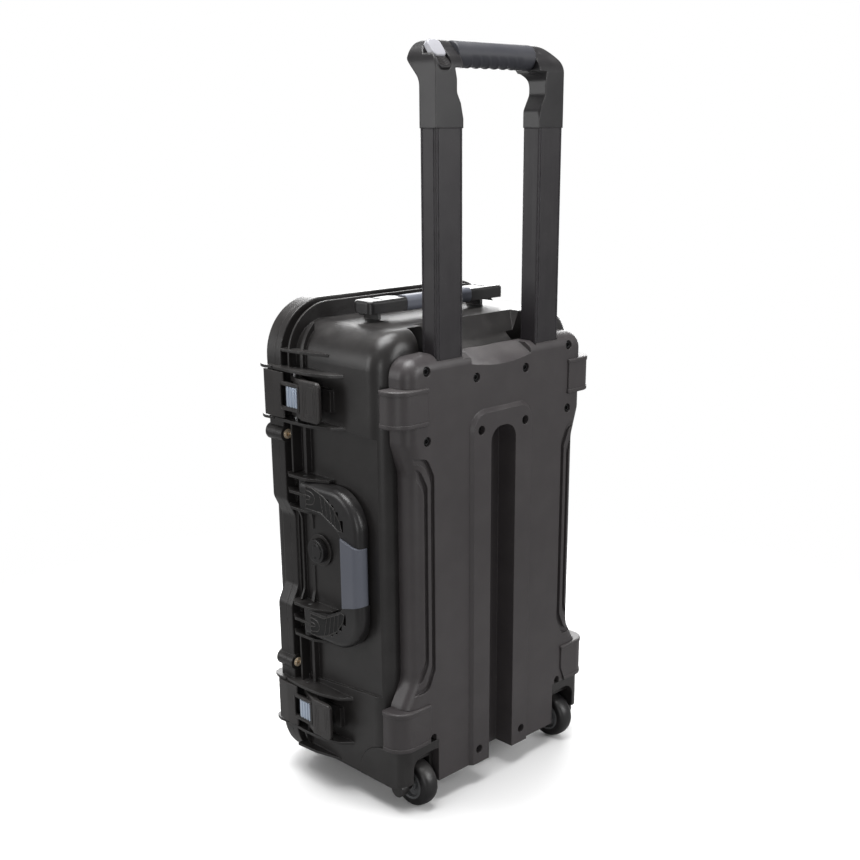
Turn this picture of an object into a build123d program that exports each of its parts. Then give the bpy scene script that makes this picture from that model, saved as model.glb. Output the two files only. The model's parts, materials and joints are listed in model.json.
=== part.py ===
from build123d import *
import os

# Rolling hard equipment case, standing on its wheels with the trolley handle drawn out.
# Millimetres. +Z up, +Y towards the lid, -X towards the latches. Origin on the floor, at the
# middle of the footprint.

# --- case ---------------------------------------------------------------------------------
CASE_TOP = 559.0
RIM_BOTTOM = 4.0
RIM_HALF = 165.0
RIM_CORNER = 60.0
RIM_NOTCH_HALF = 154.0
NOTCH_LOW, NOTCH_HIGH = 212.0, 340.0
SEAM_Y = 78.0
SEAM_GAP = 0.3
BAND_Y = 94.6
LID_FACE_Y = 114.5
BODY_HALF = 152.0
WAIST_HALF = 149.0
WAIST_LOW, WAIST_HIGH = 130.0, 432.0
BODY_LOW, BODY_HIGH = 30.0, 538.0
BODY_CORNER = 38.0
BACK_Y = -76.0
CAVITY_HALF = 144.5
CAVITY_LOW, CAVITY_HIGH = 34.0, 534.0
CAVITY_CORNER = 34.0
WALL = 4.0
HARDWARE_Z = 276.0

# --- lid hinge ----------------------------------------------------------------------------
HINGE_X = 170.7
HINGE_R = 5.3
HINGE_PIN_R = 2.0
HINGE_GROUPS = (HARDWARE_Z - 185.0, HARDWARE_Z, HARDWARE_Z + 185.0)
KNUCKLE = 15.0
KNUCKLE_GAP = 0.5

# --- latches ------------------------------------------------------------------------------
LATCHES = (HARDWARE_Z - 185.0, HARDWARE_Z + 185.0)
LATCH_GUARD = 28.0
RIB = 3.2
LEVER_PIN = (-161.0, 50.0)
CLAW_PIN = (-164.5, 38.0)
LEVER_PIN_R = 2.0
CLAW_PIN_R = 1.4
LATCH_OUT = -176.0
EYELET_X = -161.0
EYELETS = (HARDWARE_Z - 135.0, HARDWARE_Z + 139.0)
EYELET_BOSS = 9.5

# --- relief valve -------------------------------------------------------------------------
VALVE_Y, VALVE_Z = 30.0, 286.0
VALVE_FLANGE = 18.5

# --- handles ------------------------------------------------------------------------------
SIDE_PIVOT = (-159.0, 42.0)
SIDE_RIBS = [HARDWARE_Z + s * z for s in (-1, 1) for z in (57.5, 76.0, 94.5)]
TOP_PIVOT = (12.0, 550.0)
TOP_RIB = 80.0
HANDLE_PIN_R = 2.5

# --- trolley ------------------------------------------------------------------------------
TUBE_IN, TUBE_OUT = 57.4, 95.0
TUBE_FRONT, TUBE_BACK = -101.0, -78.6
TUBE_WALL = 1.6
TUBE_LOW, TUBE_HIGH = 418.0, 735.0
HEAD_TOP = 817.0
GRIP_Y, GRIP_Z = -83.0, 804.0
GRIP_HALF = 57.0
LOCK_Z = 430.0
BUTTON_PLACE = (-82.5, -93.6, 804.0)
BUTTON_OUT = Vector(0, -1, 0).rotate(Axis.X, -38)
BUTTON_WIDE, BUTTON_LONG = 19.0, 33.0

# --- rear panel and wheels ----------------------------------------------------------------
PANEL_FACE = -104.0
PANEL_PLATE = 2.6
CHANNEL_HALF = 20.0
CHANNEL_DEEP = -82.0
CHANNEL_TOP = 427.0
WHEEL_X = 118.4
WHEEL_R = 28.0
WHEEL_Y = -86.5
AXLE_R = 3.0
HOUSING_Y, HOUSING_Z = -70.0, 34.0
HOUSING_R = 40.0
HOUSING_IN, HOUSING_OUT = 99.0, 152.3
SCREWS = [(s * x, z) for s in (-1, 1)
          for x, z in ((112.6, 500), (39.2, 484), (112.7, 427), (35.3, 426.5), (36.4, 44.7))]


def in_xz(sketch, y_low, y_high):
    """A front-view outline made solid between two Y planes."""
    return extrude(Plane.XZ.offset(-y_high) * sketch, amount=y_high - y_low)


def in_yz(sketch, x_low, x_high):
    """A side-view outline made solid between two X planes."""
    return extrude(Plane.YZ.offset(x_low) * sketch, amount=x_high - x_low)


def in_xy(sketch, z_low, z_high):
    """A plan outline made solid between two Z planes."""
    return extrude(Plane.XY.offset(z_low) * sketch, amount=z_high - z_low)


def outline(*corners):
    """A closed face from (x, y, radius) corners."""
    points = [(x, y) for x, y, _ in corners]
    return make_face(FilletPolyline(*points, radius=[r for _, _, r in corners], close=True))


def block(x0, x1, y0, y1, z0, z1):
    """A box between two corners."""
    centre = Pos((x0 + x1) / 2, (y0 + y1) / 2, (z0 + z1) / 2)
    return centre * Box(abs(x1 - x0), abs(y1 - y0), abs(z1 - z0))


def rod_x(x0, x1, y, z, radius):
    """A round bar along X."""
    return Pos((x0 + x1) / 2, y, z) * Rot(0, 90, 0) * Cylinder(radius, abs(x1 - x0))


def rod_y(x, y0, y1, z, radius):
    """A round bar along Y."""
    return Pos(x, (y0 + y1) / 2, z) * Rot(90, 0, 0) * Cylinder(radius, abs(y1 - y0))


def rod_z(x, y, z0, z1, radius):
    """A round bar along Z."""
    return Pos(x, y, (z0 + z1) / 2) * Cylinder(radius, abs(z1 - z0))


def right_of(shape):
    """The mirror image of a left-hand piece."""
    return mirror(shape, about=Plane.YZ)


def write(name, shape):
    """One STEP file for one named piece."""
    export_step(Compound(label=name, children=list(shape.solids())), f"parts/{name}.step")


# --- case shells --------------------------------------------------------------------------
def rim_outline(inset):
    """The flange outline, with its shallow notch on the latch side."""
    left = -RIM_HALF + inset
    notch = -RIM_NOTCH_HALF + inset * 0.4
    low, high = RIM_BOTTOM + inset, CASE_TOP - inset
    corner = RIM_CORNER - inset
    return outline(
        (left, low, corner), (-left, low, corner), (-left, high, corner), (left, high, corner),
        (left, NOTCH_HIGH, 14), (notch, NOTCH_HIGH - 22, 14),
        (notch, NOTCH_LOW + 22, 14), (left, NOTCH_LOW, 14))


def tub_outline(half, low, high, corner):
    """A rectangle in the front view, rounded at its two upper corners."""
    return outline((-half, low, 0), (half, low, 0), (half, high, corner), (-half, high, corner))


def rounded_outline(half, low, high, corner):
    """A rectangle in the front view, rounded at all four corners."""
    return Pos(0, (low + high) / 2) * RectangleRounded(2 * half, high - low, corner)


def back_edges(shape, y):
    """The edges that lie in one plane across Y."""
    return shape.edges().filter_by(lambda e: abs(e.bounding_box().min.Y - y) < 0.01
                                   and abs(e.bounding_box().max.Y - y) < 0.01)


def scoop():
    """The dish and the two pockets in the tub's top that the drawn-in handle head drops into."""
    arms = in_yz(outline((-58.5, 600, 0), (-58.5, 506, 6), (-77, 488, 6), (-140, 488, 0),
                         (-140, 600, 0)), -98, 98)
    ramp = in_yz(outline((-44, 600, 0), (-44, 540, 0), (-60, 515, 14), (-77, 502, 8),
                         (-140, 502, 0), (-140, 600, 0)), -82, 82)
    flare = in_xz(outline((-60, 480, 0), (-60, 503, 10), (-80, 545, 0), (-80, 600, 0),
                          (80, 600, 0), (80, 545, 0), (60, 503, 10), (60, 480, 0)), -140, -40)
    divider = in_yz(outline((-77, 480, 0), (-58, 480, 0), (-58, 518, 0), (-77, 502, 0)), -55, 55)
    return arms - divider + (ramp & flare)


def scoop_clearance():
    """The space under the dish that the cavity leaves solid."""
    return in_yz(outline((-39, 600, 0), (-39, 532, 0), (-54, 498, 0), (-72, 484, 0),
                         (-140, 484, 0), (-140, 600, 0)), -102, 102)


def guard_rib(z):
    """One curved rib beside a latch, on the base."""
    plan = outline((-146, -20, 0), (-152, -20, 1.5), (-164, -8, 8), (-171, 16, 40),
                   (-172.5, 44, 20), (-171, 77.8, 3), (-146, 77.8, 0))
    return in_xy(plan, z - RIB / 2, z + RIB / 2)


def lid_guard_rib(z):
    """The same rib carried on over the lid's band."""
    plan = outline((-150, SEAM_Y + SEAM_GAP, 0), (-171, SEAM_Y + SEAM_GAP, 2),
                   (-172.5, 92, 12), (-168, 102, 6), (-158, 105, 6), (-146, 97, 2))
    return in_xy(plan, z - RIB / 2, z + RIB / 2)


def hinge_knuckles(first, y_edge, y_reach):
    """Alternate barrels of the three hinges, with the web that joins each to its rim."""
    barrels = []
    for middle in HINGE_GROUPS:
        for index in range(first, 5, 2):
            z0 = middle + (index - 2.5) * KNUCKLE + KNUCKLE_GAP / 2
            z1 = z0 + KNUCKLE - KNUCKLE_GAP
            web = block(RIM_HALF - 3, HINGE_X, y_edge, y_reach, z0, z1)
            barrels.append(rod_z(HINGE_X, SEAM_Y, z0, z1, HINGE_R) + web)
    return barrels


def hinge_bores():
    """The bores of the three hinge pins."""
    return [rod_z(HINGE_X, SEAM_Y, m - 3 * KNUCKLE, m + 3 * KNUCKLE, HINGE_PIN_R + 0.05)
            for m in HINGE_GROUPS]


def ridges():
    """Two low ridges round the tub behind the flange, open at the latches and the brackets."""
    outer = in_xz(rim_outline(3), 58, 60.5)
    inner = in_xz(rim_outline(9), 42, 46.5) - block(-138, 138, 30, 60, 525, 600)
    for middle, reach in ((LATCHES[0], LATCH_GUARD), (LATCHES[1], LATCH_GUARD),
                          (HARDWARE_Z + 76, 21), (HARDWARE_Z - 76, 21)):
        inner -= block(-200, -140, 30, 60, middle - reach, middle + reach)
        outer -= block(-200, -140, 55, 62, middle - reach, middle + reach)
    return outer + inner - block(-200, -140, 30, 55, VALVE_Z - 22, VALVE_Z + 22)


def base_brackets():
    """The ribs and lugs on the base that hold the latches, the handles and the eyelets."""
    pieces = []
    for middle in LATCHES:
        for z in (middle - LATCH_GUARD, middle + LATCH_GUARD):
            pieces.append(guard_rib(z))
        pieces.append(block(-157, -146, -3, 20, middle - 12, middle + 12))
    for z in (HARDWARE_Z - 242, HARDWARE_Z + 232):
        pieces.append(in_xy(outline((-140, 4, 0), (-153, 4, 2), (-162, 40, 10), (-164, 70, 1),
                                    (-140, 70, 0)), z - 1.5, z + 1.5))
    for z in SIDE_RIBS:
        pieces.append(in_xy(outline((-146, 5, 0), (-156, 5, 3), (-167, 30, 18), (-168, 60, 6),
                                    (-161, 70, 1), (-146, 70, 0)), z - 1.5, z + 1.5))
    for x in (-TOP_RIB, TOP_RIB):
        pieces.append(in_yz(outline((2, 536, 0), (4, 553, 4), (14, 556, 6), (24, 548, 6),
                                    (27, 536, 0)), x - 1.8, x + 1.8))
    for z in EYELETS:
        pieces.append(rod_y(EYELET_X, SEAM_Y - 11, SEAM_Y, z, EYELET_BOSS))
    for x in (-105, 105):
        pieces.append(in_yz(outline((38, 40, 0), (38, 4, 5), (76, 4, 3), (76, 40, 0)),
                            x - 7, x + 7))
    return pieces + hinge_knuckles(0, SEAM_Y - HINGE_R, SEAM_Y)


def base_cavity():
    """The space inside the base, clear of the dish, the wheel wells and the screw bosses."""
    cavity = in_xz(tub_outline(CAVITY_HALF, CAVITY_LOW, CAVITY_HIGH, CAVITY_CORNER),
                   BACK_Y + WALL, SEAM_Y + 1)
    cavity = fillet(back_edges(cavity, BACK_Y + WALL).filter_by(
        lambda e: e.center().Z > CAVITY_LOW + 1), 16)
    cavity -= scoop_clearance()
    for side in (-1, 1):
        cavity -= rod_x(side * (HOUSING_IN - WALL), side * 160, HOUSING_Y, HOUSING_Z,
                        HOUSING_R + WALL)
    for x, z in SCREWS:
        cavity -= rod_y(x, BACK_Y, BACK_Y + 12, z, 5)
    return cavity - rod_x(-146, -140, VALVE_Y, VALVE_Z, 14)


def base_bores():
    """Every hole through the base: screws, eyelets, pins and the valve."""
    bores = [rod_y(x, BACK_Y - 1, BACK_Y + 10, z, 2.05) for x, z in SCREWS]
    bores += [rod_y(EYELET_X, SEAM_Y - 12, SEAM_Y + 1, z, 5.5) for z in EYELETS]
    bores += [rod_z(*LEVER_PIN, middle - 40, middle + 40, LEVER_PIN_R) for middle in LATCHES]
    bores += [rod_z(*SIDE_PIVOT, low, low + 40, HANDLE_PIN_R)
              for low in (HARDWARE_Z - 96, HARDWARE_Z + 56)]
    bores += [rod_x(side * 70, side * 90, *TOP_PIVOT, HANDLE_PIN_R) for side in (-1, 1)]
    bores.append(rod_x(-170, -130, VALVE_Y, VALVE_Z, 9))
    return bores + hinge_bores()


def base_shell():
    """The deep half: tub, flange, ridges, latch guards, brackets and bosses."""
    tub = in_xz(tub_outline(BODY_HALF, BODY_LOW, BODY_HIGH, BODY_CORNER), BACK_Y, 70)
    tub = fillet(back_edges(tub, BACK_Y).filter_by(lambda e: e.center().Z > BODY_LOW + 1), 20)
    for side in (-1, 1):
        waist = outline((-68, WAIST_LOW + 6, 4), (40, WAIST_LOW - 4, 4), (66, WAIST_LOW - 4, 0),
                        (66, WAIST_HIGH + 4, 0), (40, WAIST_HIGH + 4, 4),
                        (-68, WAIST_HIGH - 4, 4), (-120, WAIST_HIGH - 4, 0),
                        (-120, WAIST_LOW + 6, 0))
        x0, x1 = sorted((side * WAIST_HALF, side * (BODY_HALF + 5)))
        tub -= in_yz(waist, x0, x1)
    flange = in_xz(rim_outline(0), SEAM_Y - 9, SEAM_Y)
    flange = fillet(back_edges(flange, SEAM_Y - 9), 1.2)
    shell = tub + flange + ridges()
    for piece in base_brackets():
        shell += piece
    shell -= scoop()
    for side in (-1, 1):
        shell -= rod_x(side * (HOUSING_IN - 0.3), side * 160, HOUSING_Y, HOUSING_Z,
                       HOUSING_R + 0.4)
    shell -= base_cavity()
    for bore in base_bores():
        shell -= bore
    return shell


def lid_shell():
    """The shallow half: band, dome, seal groove, latch catches and guard ribs."""
    band = in_xz(rim_outline(0), SEAM_Y + SEAM_GAP, BAND_Y)
    band = fillet(back_edges(band, BAND_Y), 3)
    dome = in_xz(rounded_outline(149, 24, 540, 42), BAND_Y - 5, LID_FACE_Y)
    dome = fillet(back_edges(dome, LID_FACE_Y), 13)
    dome -= in_xz(rounded_outline(118, 55, 509, 24), LID_FACE_Y - 1.6, LID_FACE_Y + 1)
    lid = band + dome
    for middle in LATCHES:
        for z in (middle - LATCH_GUARD, middle + LATCH_GUARD):
            lid += lid_guard_rib(z)
        lid += block(-168, -160, 84, 90, middle - 23, middle + 23)
    for z in EYELETS:
        lid += rod_y(EYELET_X, SEAM_Y + SEAM_GAP, BAND_Y, z, EYELET_BOSS)
    for knuckle in hinge_knuckles(1, SEAM_Y + SEAM_GAP, SEAM_Y + HINGE_R):
        lid += knuckle
    cavity = in_xz(rounded_outline(CAVITY_HALF, CAVITY_LOW, CAVITY_HIGH, CAVITY_CORNER),
                   SEAM_Y - 1, LID_FACE_Y - WALL)
    lid -= fillet(back_edges(cavity, LID_FACE_Y - WALL), 9)
    lid -= seal_ring(2.5, SEAM_Y, SEAM_Y + 4.5)
    for z in EYELETS:
        lid -= rod_y(EYELET_X, SEAM_Y - 1, BAND_Y + 1, z, 5.5)
    for bore in hinge_bores():
        lid -= bore
    return lid


def seal_ring(half_width, y_low, y_high):
    """A band that runs round the opening, outside the cavity."""
    offset_mid = 4.5
    ring = []
    for step in (offset_mid + half_width, offset_mid - half_width):
        ring.append(in_xz(rounded_outline(CAVITY_HALF + step, CAVITY_LOW - step,
                                          CAVITY_HIGH + step, CAVITY_CORNER + step),
                          y_low, y_high))
    return ring[0] - ring[1]


def hinge_pins():
    """Three steel pins, one in each hinge."""
    return [rod_z(HINGE_X, SEAM_Y, m - 2.5 * KNUCKLE + 1, m + 2.5 * KNUCKLE - 1, HINGE_PIN_R)
            for m in HINGE_GROUPS]


# --- rear panel, bumpers, screws ----------------------------------------------------------
def waist_region(x):
    """The left grab recess's outline at a distance from the middle: it follows the waist."""
    inset = x - 103
    return outline((-145, 141 + inset, 0), (-x - 10, 144 + inset, 12), (-x, 166 + inset, 12),
                   (-x, 388 - inset, 12), (-x - 10, 409 - inset, 12), (-145, 412 - inset, 0))


def waist_grooves():
    """The two grooves that run along a pillar's waist and sweep out at both ends."""
    grooves = []
    for near, far in ((103, 108.5), (113, 118)):
        band = waist_region(near) - waist_region(far)
        grooves.append(in_xz(band, PANEL_FACE - 1, PANEL_FACE + 4))
    return grooves[0] + grooves[1]


def lip():
    """What is cut from the panel's top between the tubes, down to a sagging, sloping lip."""
    slope = Plane((0, -112, 489.5), x_dir=(1, 0, 0), z_dir=(0, 0.87, 0.49))
    sag = extrude(slope * Pos(0, -245) * Circle(245), amount=60)
    shoulder = in_yz(outline((-110, 502, 0), (-70, 524, 0), (-70, 600, 0), (-110, 600, 0)),
                     -58, 58)
    return (sag & block(-47, 47, -120, -60, 480, 560)) + shoulder


def rear_panel():
    """The cover over the trolley tubes, with its pillars, waist grooves and centre channel."""
    half = [(HOUSING_IN - 0.3, 27, 0), (HOUSING_IN - 0.3, 80, 0), (146, 80, 0), (146, 128, 22),
            (130, 156, 26), (130, 392, 26), (140, 424, 22), (140, 513, 20), (97, 515, 0)]
    mirrored = [(-x, z, r) for x, z, r in reversed(half)]
    panel = in_xz(outline(*half, *mirrored), PANEL_FACE, BACK_Y)
    outer = panel.edges().filter_by(lambda e: abs(e.center().Y - PANEL_FACE) < 0.01
                                    and abs(e.center().X) > 104 and e.center().Z > 82)
    panel = fillet(outer, 15)
    panel -= block(-96, 96, -120, -60, 510.5, 530)
    ridge = in_xz(outline((-50, 27, 0), (50, 27, 0), (50, 448, 22), (-50, 448, 22)),
                  PANEL_FACE - 4, PANEL_FACE + 0.5)
    ridge = chamfer(back_edges(ridge, PANEL_FACE - 4).filter_by(
        lambda e: e.center().Z > 30), 3.6)
    panel += ridge
    for side in (-1, 1):
        near, far = CHANNEL_HALF + 4, HOUSING_IN - 2
        pocket = block(side * near, side * far, PANEL_FACE + PANEL_PLATE, BACK_Y + 1, 34, 488)
        for x, z in SCREWS:
            pocket -= rod_y(x, PANEL_FACE, BACK_Y, z, 6)
        panel -= pocket
        panel -= block(side * (TUBE_IN - 0.4), side * (TUBE_OUT + 0.4), TUBE_FRONT - 0.4,
                       BACK_Y + 1, 480, 520)
        panel -= block(side * 96, side * 98.4, -94, -86, LOCK_Z - 295, LOCK_Z + 10)
        panel -= in_xz(Pos(side * 106.5, 81.5) * SlotOverall(15, 9, 90), PANEL_FACE - 1, -95)
    panel -= block(-97, 97, BACK_Y - 2, BACK_Y + 1, 34, 470)
    panel -= waist_grooves()
    panel -= right_of(waist_grooves())
    channel = outline((-CHANNEL_HALF, 0, 0), (CHANNEL_HALF, 0, 0),
                      (CHANNEL_HALF, CHANNEL_TOP, 17), (-CHANNEL_HALF, CHANNEL_TOP, 17))
    panel -= in_xz(channel, PANEL_FACE - 9, CHANNEL_DEEP)
    panel -= lip()
    for x, z in SCREWS:
        face = PANEL_FACE - 5
        panel -= rod_y(x, face, PANEL_FACE + 6, z, 5.2)
        panel -= rod_y(x, face, BACK_Y + 1, z, 2.05)
    return panel


def panel_screws():
    """Ten socket screws that hold the rear panel to the tub."""
    screws = []
    for x, z in SCREWS:
        head = rod_y(x, PANEL_FACE + 1.6, PANEL_FACE + 6, z, 4.4)
        head = chamfer(back_edges(head, PANEL_FACE + 1.6), 0.6)
        socket = in_xz(Pos(x, z) * RegularPolygon(2.3, 6), PANEL_FACE, PANEL_FACE + 4)
        screws.append(head - socket + rod_y(x, PANEL_FACE + 5, BACK_Y + 9, z, 2))
    return screws


def bumper(low, high, wide, pillar):
    """One moulded guard that wraps a pillar of the rear panel; left side."""
    front = PANEL_FACE - 0.3
    plan = outline((-112, PANEL_FACE - 2, 1), (-wide, PANEL_FACE - 2, 20),
                   (-wide, BACK_Y - 1, 3), (-pillar - 0.3, BACK_Y - 1, 0),
                   (-pillar - 0.3, front, 15), (-112, front, 0))
    guard = in_xy(plan, low, high)
    outer = guard.edges().filter_by(lambda e: e.center().X < -pillar - 2 or e.center().Y < front - 1)
    return fillet(outer.filter_by(lambda e: e.bounding_box().size.Z < 0.01), 1.4)


def lower_bumper():
    """The left lower guard: broad at its top, drawn in round the wheel's opening below."""
    guard = bumper(80, 128, 160, 146)
    slant = in_xz(outline((-110, 104, 0), (-124, 70, 0), (-100, 70, 0), (-100, 104, 0)),
                  -120, -60)
    return guard - slant


# --- wheels -------------------------------------------------------------------------------
def wheel_housing():
    """The left lower corner of the case, which carries the wheel between two cheeks."""
    disc = rod_x(-HOUSING_OUT, -HOUSING_IN, HOUSING_Y, HOUSING_Z, HOUSING_R)
    disc -= block(-160, -90, -120, BACK_Y - 0.3, -20, 120)
    back = in_yz(outline((PANEL_FACE, 79.6, 0), (PANEL_FACE, 38, 0), (-84, 30, 0),
                         (BACK_Y - 0.3, 30, 0), (BACK_Y - 0.3, 79.6, 0)),
                 -HOUSING_OUT, -HOUSING_IN)
    corner = back.edges().filter_by(Axis.Z).filter_by(
        lambda e: e.center().X < -150 and e.center().Y < -100)
    body = fillet(corner, 14) + disc
    body -= block(-160, -90, -120, 0, -20, BODY_LOW)
    body += rod_x(-148, -136, WHEEL_Y, WHEEL_R, 9)
    body += rod_x(-HOUSING_IN - 6, -HOUSING_IN, WHEEL_Y, WHEEL_R, 9)
    body -= rod_x(-138, -HOUSING_IN - 5, WHEEL_Y, WHEEL_R, 31)
    mouth = outline((-138, -5, 0), (-138, 69.5, 15), (-90, 69.5, 15), (-90, -5, 0))
    body -= in_xz(mouth, -120, -94)
    body += rod_x(-139, -130, WHEEL_Y, WHEEL_R, 5.5)
    body -= rod_x(-142.6, -90, WHEEL_Y, WHEEL_R, AXLE_R + 0.05)
    return Compound(children=[max(body.solids(), key=lambda s: s.volume)])


def tyre():
    """The left rubber tyre, with a rounded tread."""
    ring = rod_x(-WHEEL_X - 10.5, -WHEEL_X + 10.5, WHEEL_Y, WHEEL_R, WHEEL_R)
    tread = ring.edges().filter_by(GeomType.CIRCLE)
    ring = fillet(tread, 8)
    return ring - rod_x(-WHEEL_X - 12, -WHEEL_X + 12, WHEEL_Y, WHEEL_R, 18)


def hub():
    """The left moulded hub, with a bearing seat through it and a dished face."""
    body = rod_x(-WHEEL_X - 10.5, -WHEEL_X + 10.5, WHEEL_Y, WHEEL_R, 18)
    for low, high in ((-WHEEL_X - 11, -WHEEL_X - 5), (-WHEEL_X + 5, -WHEEL_X + 11)):
        dish = rod_x(low, high, WHEEL_Y, WHEEL_R, 15.5) - rod_x(low, high, WHEEL_Y, WHEEL_R, 8.5)
        body -= dish
    return body - rod_x(-WHEEL_X - 12, -WHEEL_X + 12, WHEEL_Y, WHEEL_R, 6)


def bearings():
    """Two bearings pressed into the left hub."""
    rings = []
    for low, high in ((-WHEEL_X - 10.5, -WHEEL_X - 5.5), (-WHEEL_X + 5.5, -WHEEL_X + 10.5)):
        rings.append(rod_x(low, high, WHEEL_Y, WHEEL_R, 6)
                     - rod_x(low, high, WHEEL_Y, WHEEL_R, AXLE_R + 0.03))
    return rings


def axle():
    """The left steel axle."""
    return rod_x(-WHEEL_X - 24, -WHEEL_X + 16.5, WHEEL_Y, WHEEL_R, AXLE_R)


# --- trolley ------------------------------------------------------------------------------
def sleeve():
    """The left fixed guide: a channel that the tube slides in, slotted for the lock pin."""
    guide = block(-TUBE_OUT - 1.5, -TUBE_IN + 1.5, TUBE_FRONT - 0.4, TUBE_BACK + 1.5, 100, 472)
    guide -= block(-TUBE_OUT - 0.3, -TUBE_IN + 0.3, TUBE_FRONT - 1, TUBE_BACK + 0.3, 99, 473)
    slot_z = (LOCK_Z - 292, LOCK_Z + 6)
    return guide - block(-TUBE_OUT - 3, -TUBE_OUT + 1, -93, -87, *slot_z)


def tube():
    """The left sliding tube, with narrow grooves at its two outer corners."""
    body = block(-TUBE_OUT, -TUBE_IN, TUBE_FRONT, TUBE_BACK, TUBE_LOW, TUBE_HIGH)
    body = fillet(body.edges().filter_by(Axis.Z), 1.6)
    inner = block(-TUBE_OUT + TUBE_WALL, -TUBE_IN - TUBE_WALL, TUBE_FRONT + TUBE_WALL,
                  TUBE_BACK - TUBE_WALL, TUBE_LOW - 1, TUBE_HIGH + 1)
    body -= inner
    for x in (-TUBE_OUT + 3.2, -TUBE_IN - 3.2):
        body -= block(x - 0.5, x + 0.5, TUBE_FRONT - 1, TUBE_FRONT + 0.6, TUBE_LOW - 1,
                      TUBE_HIGH + 1)
    for y in (TUBE_FRONT + 3.2, TUBE_BACK - 3.2):
        body -= block(-TUBE_OUT - 1, -TUBE_OUT + 0.6, y - 0.5, y + 0.5, TUBE_LOW - 1,
                      TUBE_HIGH + 1)
    return body - rod_x(-TUBE_OUT - 2, -TUBE_OUT + 3, -90, LOCK_Z, 2.5)


def arm():
    """The left head arm: it carries on from the tube, leans to the lid and meets the grip."""
    lean = in_yz(outline((-101.3, TUBE_HIGH, 0), (-101.3, 798, 20), (-80, HEAD_TOP, 14),
                         (-60.5, HEAD_TOP, 5), (-60.5, 799, 5), (-78.6, 780, 16),
                         (TUBE_BACK, TUBE_HIGH, 0)), -95.3, -40)
    front = outline((-95.3, TUBE_HIGH, 0), (-95.3, HEAD_TOP, 25), (-GRIP_HALF, HEAD_TOP, 0),
                    (-GRIP_HALF, 789, 0), (-66, 789, 8.5), (-66, 768, 10),
                    (-57.1, 752, 10), (-57.1, TUBE_HIGH, 0))
    body = lean & in_xz(front, -140, -30)
    plug = block(-TUBE_OUT + TUBE_WALL + 0.05, -TUBE_IN - TUBE_WALL - 0.05,
                 TUBE_FRONT + TUBE_WALL + 0.05, TUBE_BACK - TUBE_WALL - 0.05, 705, 736)
    body += plug
    low_corner = (-57.4, -101.3, 745)
    taper = split(block(-80, -50, -110, -78, 740, 791),
                  Plane(low_corner, z_dir=(865, -605, 209)), keep=Keep.TOP)
    body -= taper
    body -= rod_z(-76, -90, 700, 788, 3.2)
    return body - rod_x(-70, -50, GRIP_Y, GRIP_Z, 7)


def button_plane(depth):
    """A plane across the button's travel, at a depth below the arm's sloping face."""
    return Plane(BUTTON_PLACE, x_dir=(1, 0, 0), z_dir=BUTTON_OUT).offset(-depth)


def button_slot():
    """The pocket for the release button."""
    face = RectangleRounded(BUTTON_WIDE + 0.6, BUTTON_LONG + 0.6, 7.3)
    return extrude(button_plane(-12) * face, amount=-22)


def release_button():
    """The release button: an oblong cap with a rounded edge."""
    face = RectangleRounded(BUTTON_WIDE, BUTTON_LONG, 7)
    cap = extrude(button_plane(-0.8) * face, amount=-7)
    return fillet(cap.faces().sort_by(Axis((0, 0, 0), tuple(BUTTON_OUT)))[-1].edges(), 0.7)


def push_rods():
    """The two rods that carry the button's movement down to the lock pins."""
    return [rod_z(side * 76, -90, LOCK_Z + 8, 780, 2.5) for side in (-1, 1)]


def lock_pin():
    """The left sprung pin that stands in the sleeve's slot."""
    return rod_x(-TUBE_OUT - 2.4, -86, -90, LOCK_Z, 2.4) + \
        block(-88, -78, -95, -85, LOCK_Z - 5, LOCK_Z + 5)


# --- latches, modelled about the latch's middle height -------------------------------------
def latch_lever():
    """The pull lever: two cheeks on the fixed pin and a broad tab."""
    cheek = outline((-157.5, 54, 3.5), (-164.5, 54, 3), (-170.5, 38, 4), (-174, 25, 3),
                    (LATCH_OUT + 0.3, 18, 0), (-172.4, 16, 0), (-166, 26, 6),
                    (-157.5, 44, 3.5))
    lever = in_xy(cheek, 16, 21.5) + in_xy(cheek, -21.5, -16)
    tab = outline((-6.5, -22, 6), (25.5, -22, 2), (25.5, 22, 2), (-6.5, 22, 6))
    plate = in_yz(tab, LATCH_OUT, -172.2)
    lever += fillet(plate.faces().sort_by(Axis.X)[0].edges(), 1.3)
    lever -= rod_z(*LEVER_PIN, -30, 30, LEVER_PIN_R + 0.05)
    return lever - rod_z(*CLAW_PIN, -30, 30, CLAW_PIN_R)


def latch_claw():
    """The claw: a windowed plate that reaches over the lid's catch."""
    plate = outline((-172.6, 57, 1.5), (-173.4, 74, 30), (-172.2, 92, 2.5), (-168.4, 92, 1),
                    (-168.4, 80, 1), (-169.9, 77, 1), (-169.9, 57, 1))
    claw = in_xy(plate, -25, 25) + block(-173, -169.9, 27.5, 58, -15.4, 15.4)
    for side in (-1, 1):
        low, high = sorted((side * 12.4, side * 15.4))
        claw += rod_z(*CLAW_PIN, low, high, 3.2)
        claw += block(-171, CLAW_PIN[0], CLAW_PIN[1] - 3, CLAW_PIN[1] + 3, low, high)
    claw -= rod_z(*CLAW_PIN, -20, 20, CLAW_PIN_R + 0.05)
    return claw - block(-180, -169, 30.5, 62, -11.2, 11.2)


def lock_slide():
    """The ribbed slide in the claw's window."""
    slide = block(-172.4, -169.95, 31, 52, -11, 11)
    slide += block(-169.8, -168.7, 31, 52, -12.2, 12.2) + block(-170, -169.7, 31, 52, -11, 11)
    for y in (34, 38, 42, 46, 50):
        slide += block(-173, -172.3, y - 0.9, y + 0.9, -10.2, 10.2)
    return slide


# --- handles ------------------------------------------------------------------------------
def mirrored_outline(half):
    """A closed face from half an outline in (y, z), repeated below the middle height."""
    return outline(*half, *[(y, -z, r) for y, z, r in reversed(half)])


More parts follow.
